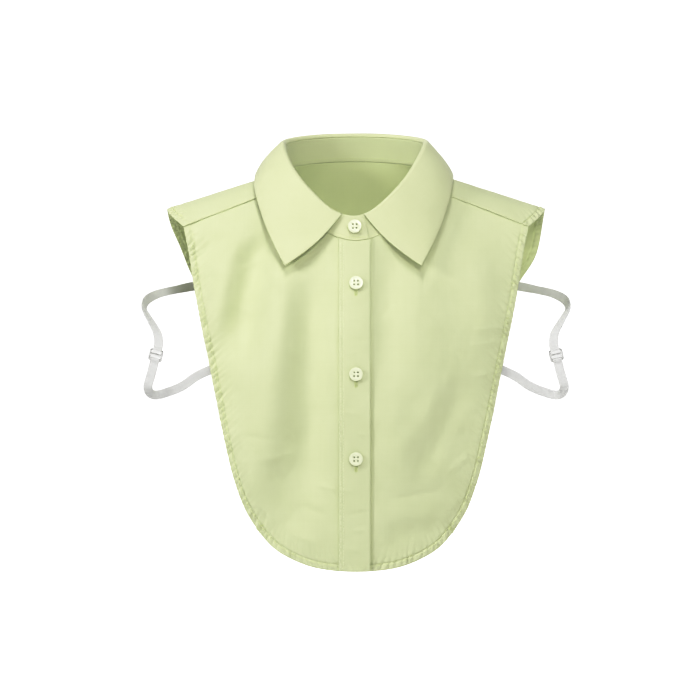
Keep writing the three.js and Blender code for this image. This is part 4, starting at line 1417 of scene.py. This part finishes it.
def strap_frame(points, widths, place):
    last = len(points) - 1
    row = np.minimum((place * last).astype(int), last - 1)
    across = mix(widths[row], widths[row + 1], (place * last - row)[..., None])
    step = 1e-4
    low, high = np.clip(place - step, 0, 1), np.clip(place + step, 0, 1)
    along = unit(curve_at(points, high) - curve_at(points, low))
    across = unit(across - along * np.sum(across * along, axis=-1, keepdims=True))
    return curve_at(points, place), along, across


def weave_at(distance):
    away = np.abs(distance) / BAR_PITCH
    near = -WEAVE * np.cos(math.pi * away)
    far = WEAVE * (1 + np.cos(math.pi * (away - 1))) / 2
    return np.where(away < 1, near, np.where(away < 2, far, 0))


def strap_surface(side):
    points, widths = strap_line(side)
    fine = np.linspace(0, 1, 2001)
    lengths = line_lengths(curve_at(points, fine))
    slider_at = np.interp(SLIDER_POINT / (len(points) - 1), fine, lengths)

    def surface(across_share, share):
        distance = share * lengths[-1]
        middle, along, across = strap_frame(points, widths, np.interp(distance, lengths, fine))
        face = np.cross(along, across)
        lift = -side * weave_at(distance - slider_at)
        aside = (across_share - 0.5) * STRAP_WIDTH
        return middle + across * aside[..., None] + face * lift[..., None]

    return surface, lengths[-1]


# %% [markdown]
# ## Elastic
# Knitted elastic has ribs along its length and fine loops across. Both are sines on the UV map, so
# they turn with the ribbon, which noise on Object coordinates wouldn't do.
# %% Elastic
RIB_PITCH, LOOP_PITCH = 0.00104, 0.0009  # metres


def make_elastic():
    sheen = {"Sheen_Weight": 0.25, "Specular_IOR_Level": 0.35}
    material, tree, shader = new_material("knitted_elastic", 0.7, **sheen)
    threads = add_node(tree, "ShaderNodeUVMap", uv_map="threads")
    split = add_node(tree, "ShaderNodeSeparateXYZ", {0: threads.outputs[0]})
    rib = math_node(tree, "MULTIPLY", split.outputs[0], 2 * math.pi / RIB_PITCH)
    rib = math_node(tree, "SINE", rib)
    purl = math_node(tree, "MULTIPLY", split.outputs[1], 2 * math.pi / LOOP_PITCH)
    purl = math_node(tree, "SINE", purl)
    ribs, loops = math_node(tree, "MULTIPLY", rib, 0.6), math_node(tree, "MULTIPLY", purl, 0.35)
    height = math_node(tree, "ADD", ribs, loops)
    mask = math_node(tree, "MULTIPLY_ADD", height, 0.3, 0.6)
    tone = mix_node_color(tree, mask, (0.59, 0.59, 0.58), (0.72, 0.72, 0.71))
    tree.links.new(tone, shader.inputs["Base Color"])
    tree.links.new(bump_node(tree, height, 0.5, 0.00012), shader.inputs["Normal"])
    return material


elastic = make_elastic()


def strap_relief(cloth):
    inward = np.minimum(cloth["across"], 1 - cloth["across"]) * STRAP_WIDTH
    wall = mix(STRAP_WALL * 1.05, STRAP_WALL * 0.85, smoothstep(inward, 0.6, 1.1))
    return np.zeros(inward.shape), wall


for side, name in ((-1, "right"), (1, "left")):
    surface, length = strap_surface(side)
    strap = sew_cloth(
        f"strap_{name}_elastic",
        surface,
        grid_lines(STRAP_WIDTH, 0.8),
        grid_lines(length, 0.7),
        STRAP_WALL,
        (0, -1, 0),
        relief=strap_relief,
    )
    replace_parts(finish_piece(strap["piece"], elastic), f"strap_{name}")
    print("strap", name, round(length), "mm long")

# %% [markdown]
# ## Slides
# A flat plastic frame with two slots. The strap is meant to go behind the outer bars and over the
# middle one, but it still cuts up to 1.4 mm into the frame. The frame could be drawn as bars, but a
# block with rounded corners and two Boolean cuts is one closed piece.
# %% Model and place the slides
def model_slide():
    fresh_start()
    bpy.ops.mesh.primitive_cube_add(size=1)
    slide = bpy.context.object
    bpy.ops.object.mode_set(mode="EDIT")
    bpy.ops.mesh.select_all(action="SELECT")
    bpy.ops.transform.resize(value=(SLIDER_WIDTH, SLIDER_HEIGHT, SLIDER_WALL))
    bpy.ops.object.mode_set(mode="OBJECT")
    for edge in slide.data.edges:
        low, high = (slide.data.vertices[k].co for k in edge.vertices)
        edge.select = abs(low.z - high.z) > SLIDER_WALL / 2
    bpy.ops.object.mode_set(mode="EDIT")
    bpy.ops.mesh.select_mode(type="EDGE")
    bpy.ops.mesh.bevel(offset=SLIDER_CORNER, segments=6)
    bpy.ops.object.mode_set(mode="OBJECT")
    for side in (-1, 1):
        bpy.ops.mesh.primitive_cube_add(size=1, location=(0, side * BAR_PITCH / 2, 0))
        slot = bpy.context.object
        slot.scale = (STRAP_WIDTH + 3 * GAP, BAR_PITCH - SLIDER_BAR * 1.2, 4 * SLIDER_WALL)
        bpy.ops.object.transform_apply(scale=True)
        cut_away(slide, slot)
    round_edges(slide, 0.42, 4)
    return slide


slide_model = model_slide()
slide_plastic = make_moulding("slide_plastic", (0.78, 0.78, 0.77), (0.71, 0.71, 0.70), 0.34, 180.0)
for side, name in ((-1, "right"), (1, "left")):
    points, widths = strap_line(side)
    centre, along, across = strap_frame(points, widths, np.array(SLIDER_POINT / (len(points) - 1)))
    axes = [across, along, np.cross(across, along)]
    piece = copy_placed(slide_model, f"slide_{name}_moulded", centre, axes)
    finish_piece(piece, slide_plastic)
    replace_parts(piece, f"slider_{name}")
bpy.data.objects.remove(slide_model)


# %% [markdown]
# ## Stage, light and camera
# The photograph is nearly a parallel view from the front, so the camera stands far off with a long
# lens, and its frame is the photo's 700 pixels at 0.92 mm each.
# %% Camera
PIXEL = 0.92 * MM
CAMERA_FAR = 9.0
FRAME_SIDE = 700
middle_x = (FRAME_SIDE / 2 - 356) * PIXEL
middle_z = (172 - FRAME_SIDE / 2) * PIXEL
lens_view = bpy.data.cameras.new("front_camera")
lens_view.sensor_width = 36
lens_view.lens = 36 * CAMERA_FAR / (FRAME_SIDE * PIXEL)
lens_view.clip_start, lens_view.clip_end = 0.1, 60
camera = bpy.data.objects.new("front_camera", lens_view)
bpy.context.scene.collection.objects.link(camera)
camera.location = (middle_x, -CAMERA_FAR, middle_z)
camera.rotation_euler = (math.pi / 2, 0, 0)
bpy.context.scene.camera = camera
print("lens", round(lens_view.lens), "mm")


# %% [markdown]
# ## Light and floor
# Five soft lamps: a key from the left that models the folds, one in front, one above, a weak one
# from the right and one behind for the back views. The surround and the floor are pure white only
# where the camera sees them: for the cloth the surround is a faint glow.
# %% Floor and lights
AIM = (0, 0, -0.15)
LAMPS = [  # name, place, size in metres, power in watts
    ("key_light", (-2.3, -1.1, 0.9), 0.6, 28),
    ("front_light", (0.6, -2.5, 1.25), 0.6, 24.5),
    ("top_light", (-0.2, -1.0, 2.25), 0.8, 21),
    ("side_light", (2.1, -1.7, 0.6), 1.0, 5),
    ("back_light", (0.4, 2.6, 1.0), 1.2, 18),
]
for name, place, size, power in LAMPS:
    lamp = bpy.data.lights.new(name, "AREA")
    lamp.shape, lamp.size, lamp.energy = "DISK", size, power
    holder = bpy.data.objects.new(name, lamp)
    holder.location = place
    holder.rotation_euler = (Vector(AIM) - Vector(place)).to_track_quat("-Z", "Y").to_euler()
    bpy.context.scene.collection.objects.link(holder)
print("lamps", len(LAMPS))

world = bpy.data.worlds.new("white_surround")
world.use_nodes = True
surround = world.node_tree.nodes["Background"]
surround.inputs[0].default_value = (1, 1, 1, 1)
sight = add_node(world.node_tree, "ShaderNodeLightPath").outputs["Is Camera Ray"]
glow = math_node(world.node_tree, "MULTIPLY_ADD", sight, 1.0, 0.22)
world.node_tree.links.new(glow, surround.inputs[1])
bpy.context.scene.world = world
view = bpy.context.scene.view_settings
view.view_transform = "Standard"
view.use_curve_mapping = True
tone = view.curve_mapping.curves[3].points
for place, level in ((0.22, 0.155), (0.5, 0.485), (0.75, 0.8)):
    tone.new(place, level)
view.curve_mapping.update()

bpy.ops.object.select_all(action="DESELECT")
bpy.ops.mesh.primitive_circle_add(vertices=96, radius=40, fill_type="NGON", location=(0, 0, -0.52))
floor = bpy.context.object
floor.name = "floor"
floor_paint, floor_tree, floor_shader = new_material("pale_floor", 0.9)
floor_shader.inputs["Base Color"].default_value = (0.82, 0.82, 0.81, 1)
floor_shader.inputs["Emission Color"].default_value = (1, 1, 1, 1)
seen = add_node(floor_tree, "ShaderNodeLightPath").outputs["Is Camera Ray"]
emission = math_node(floor_tree, "MULTIPLY", seen, 1.6)
floor_tree.links.new(emission, floor_shader.inputs["Emission Strength"])
floor.data.materials.append(floor_paint)
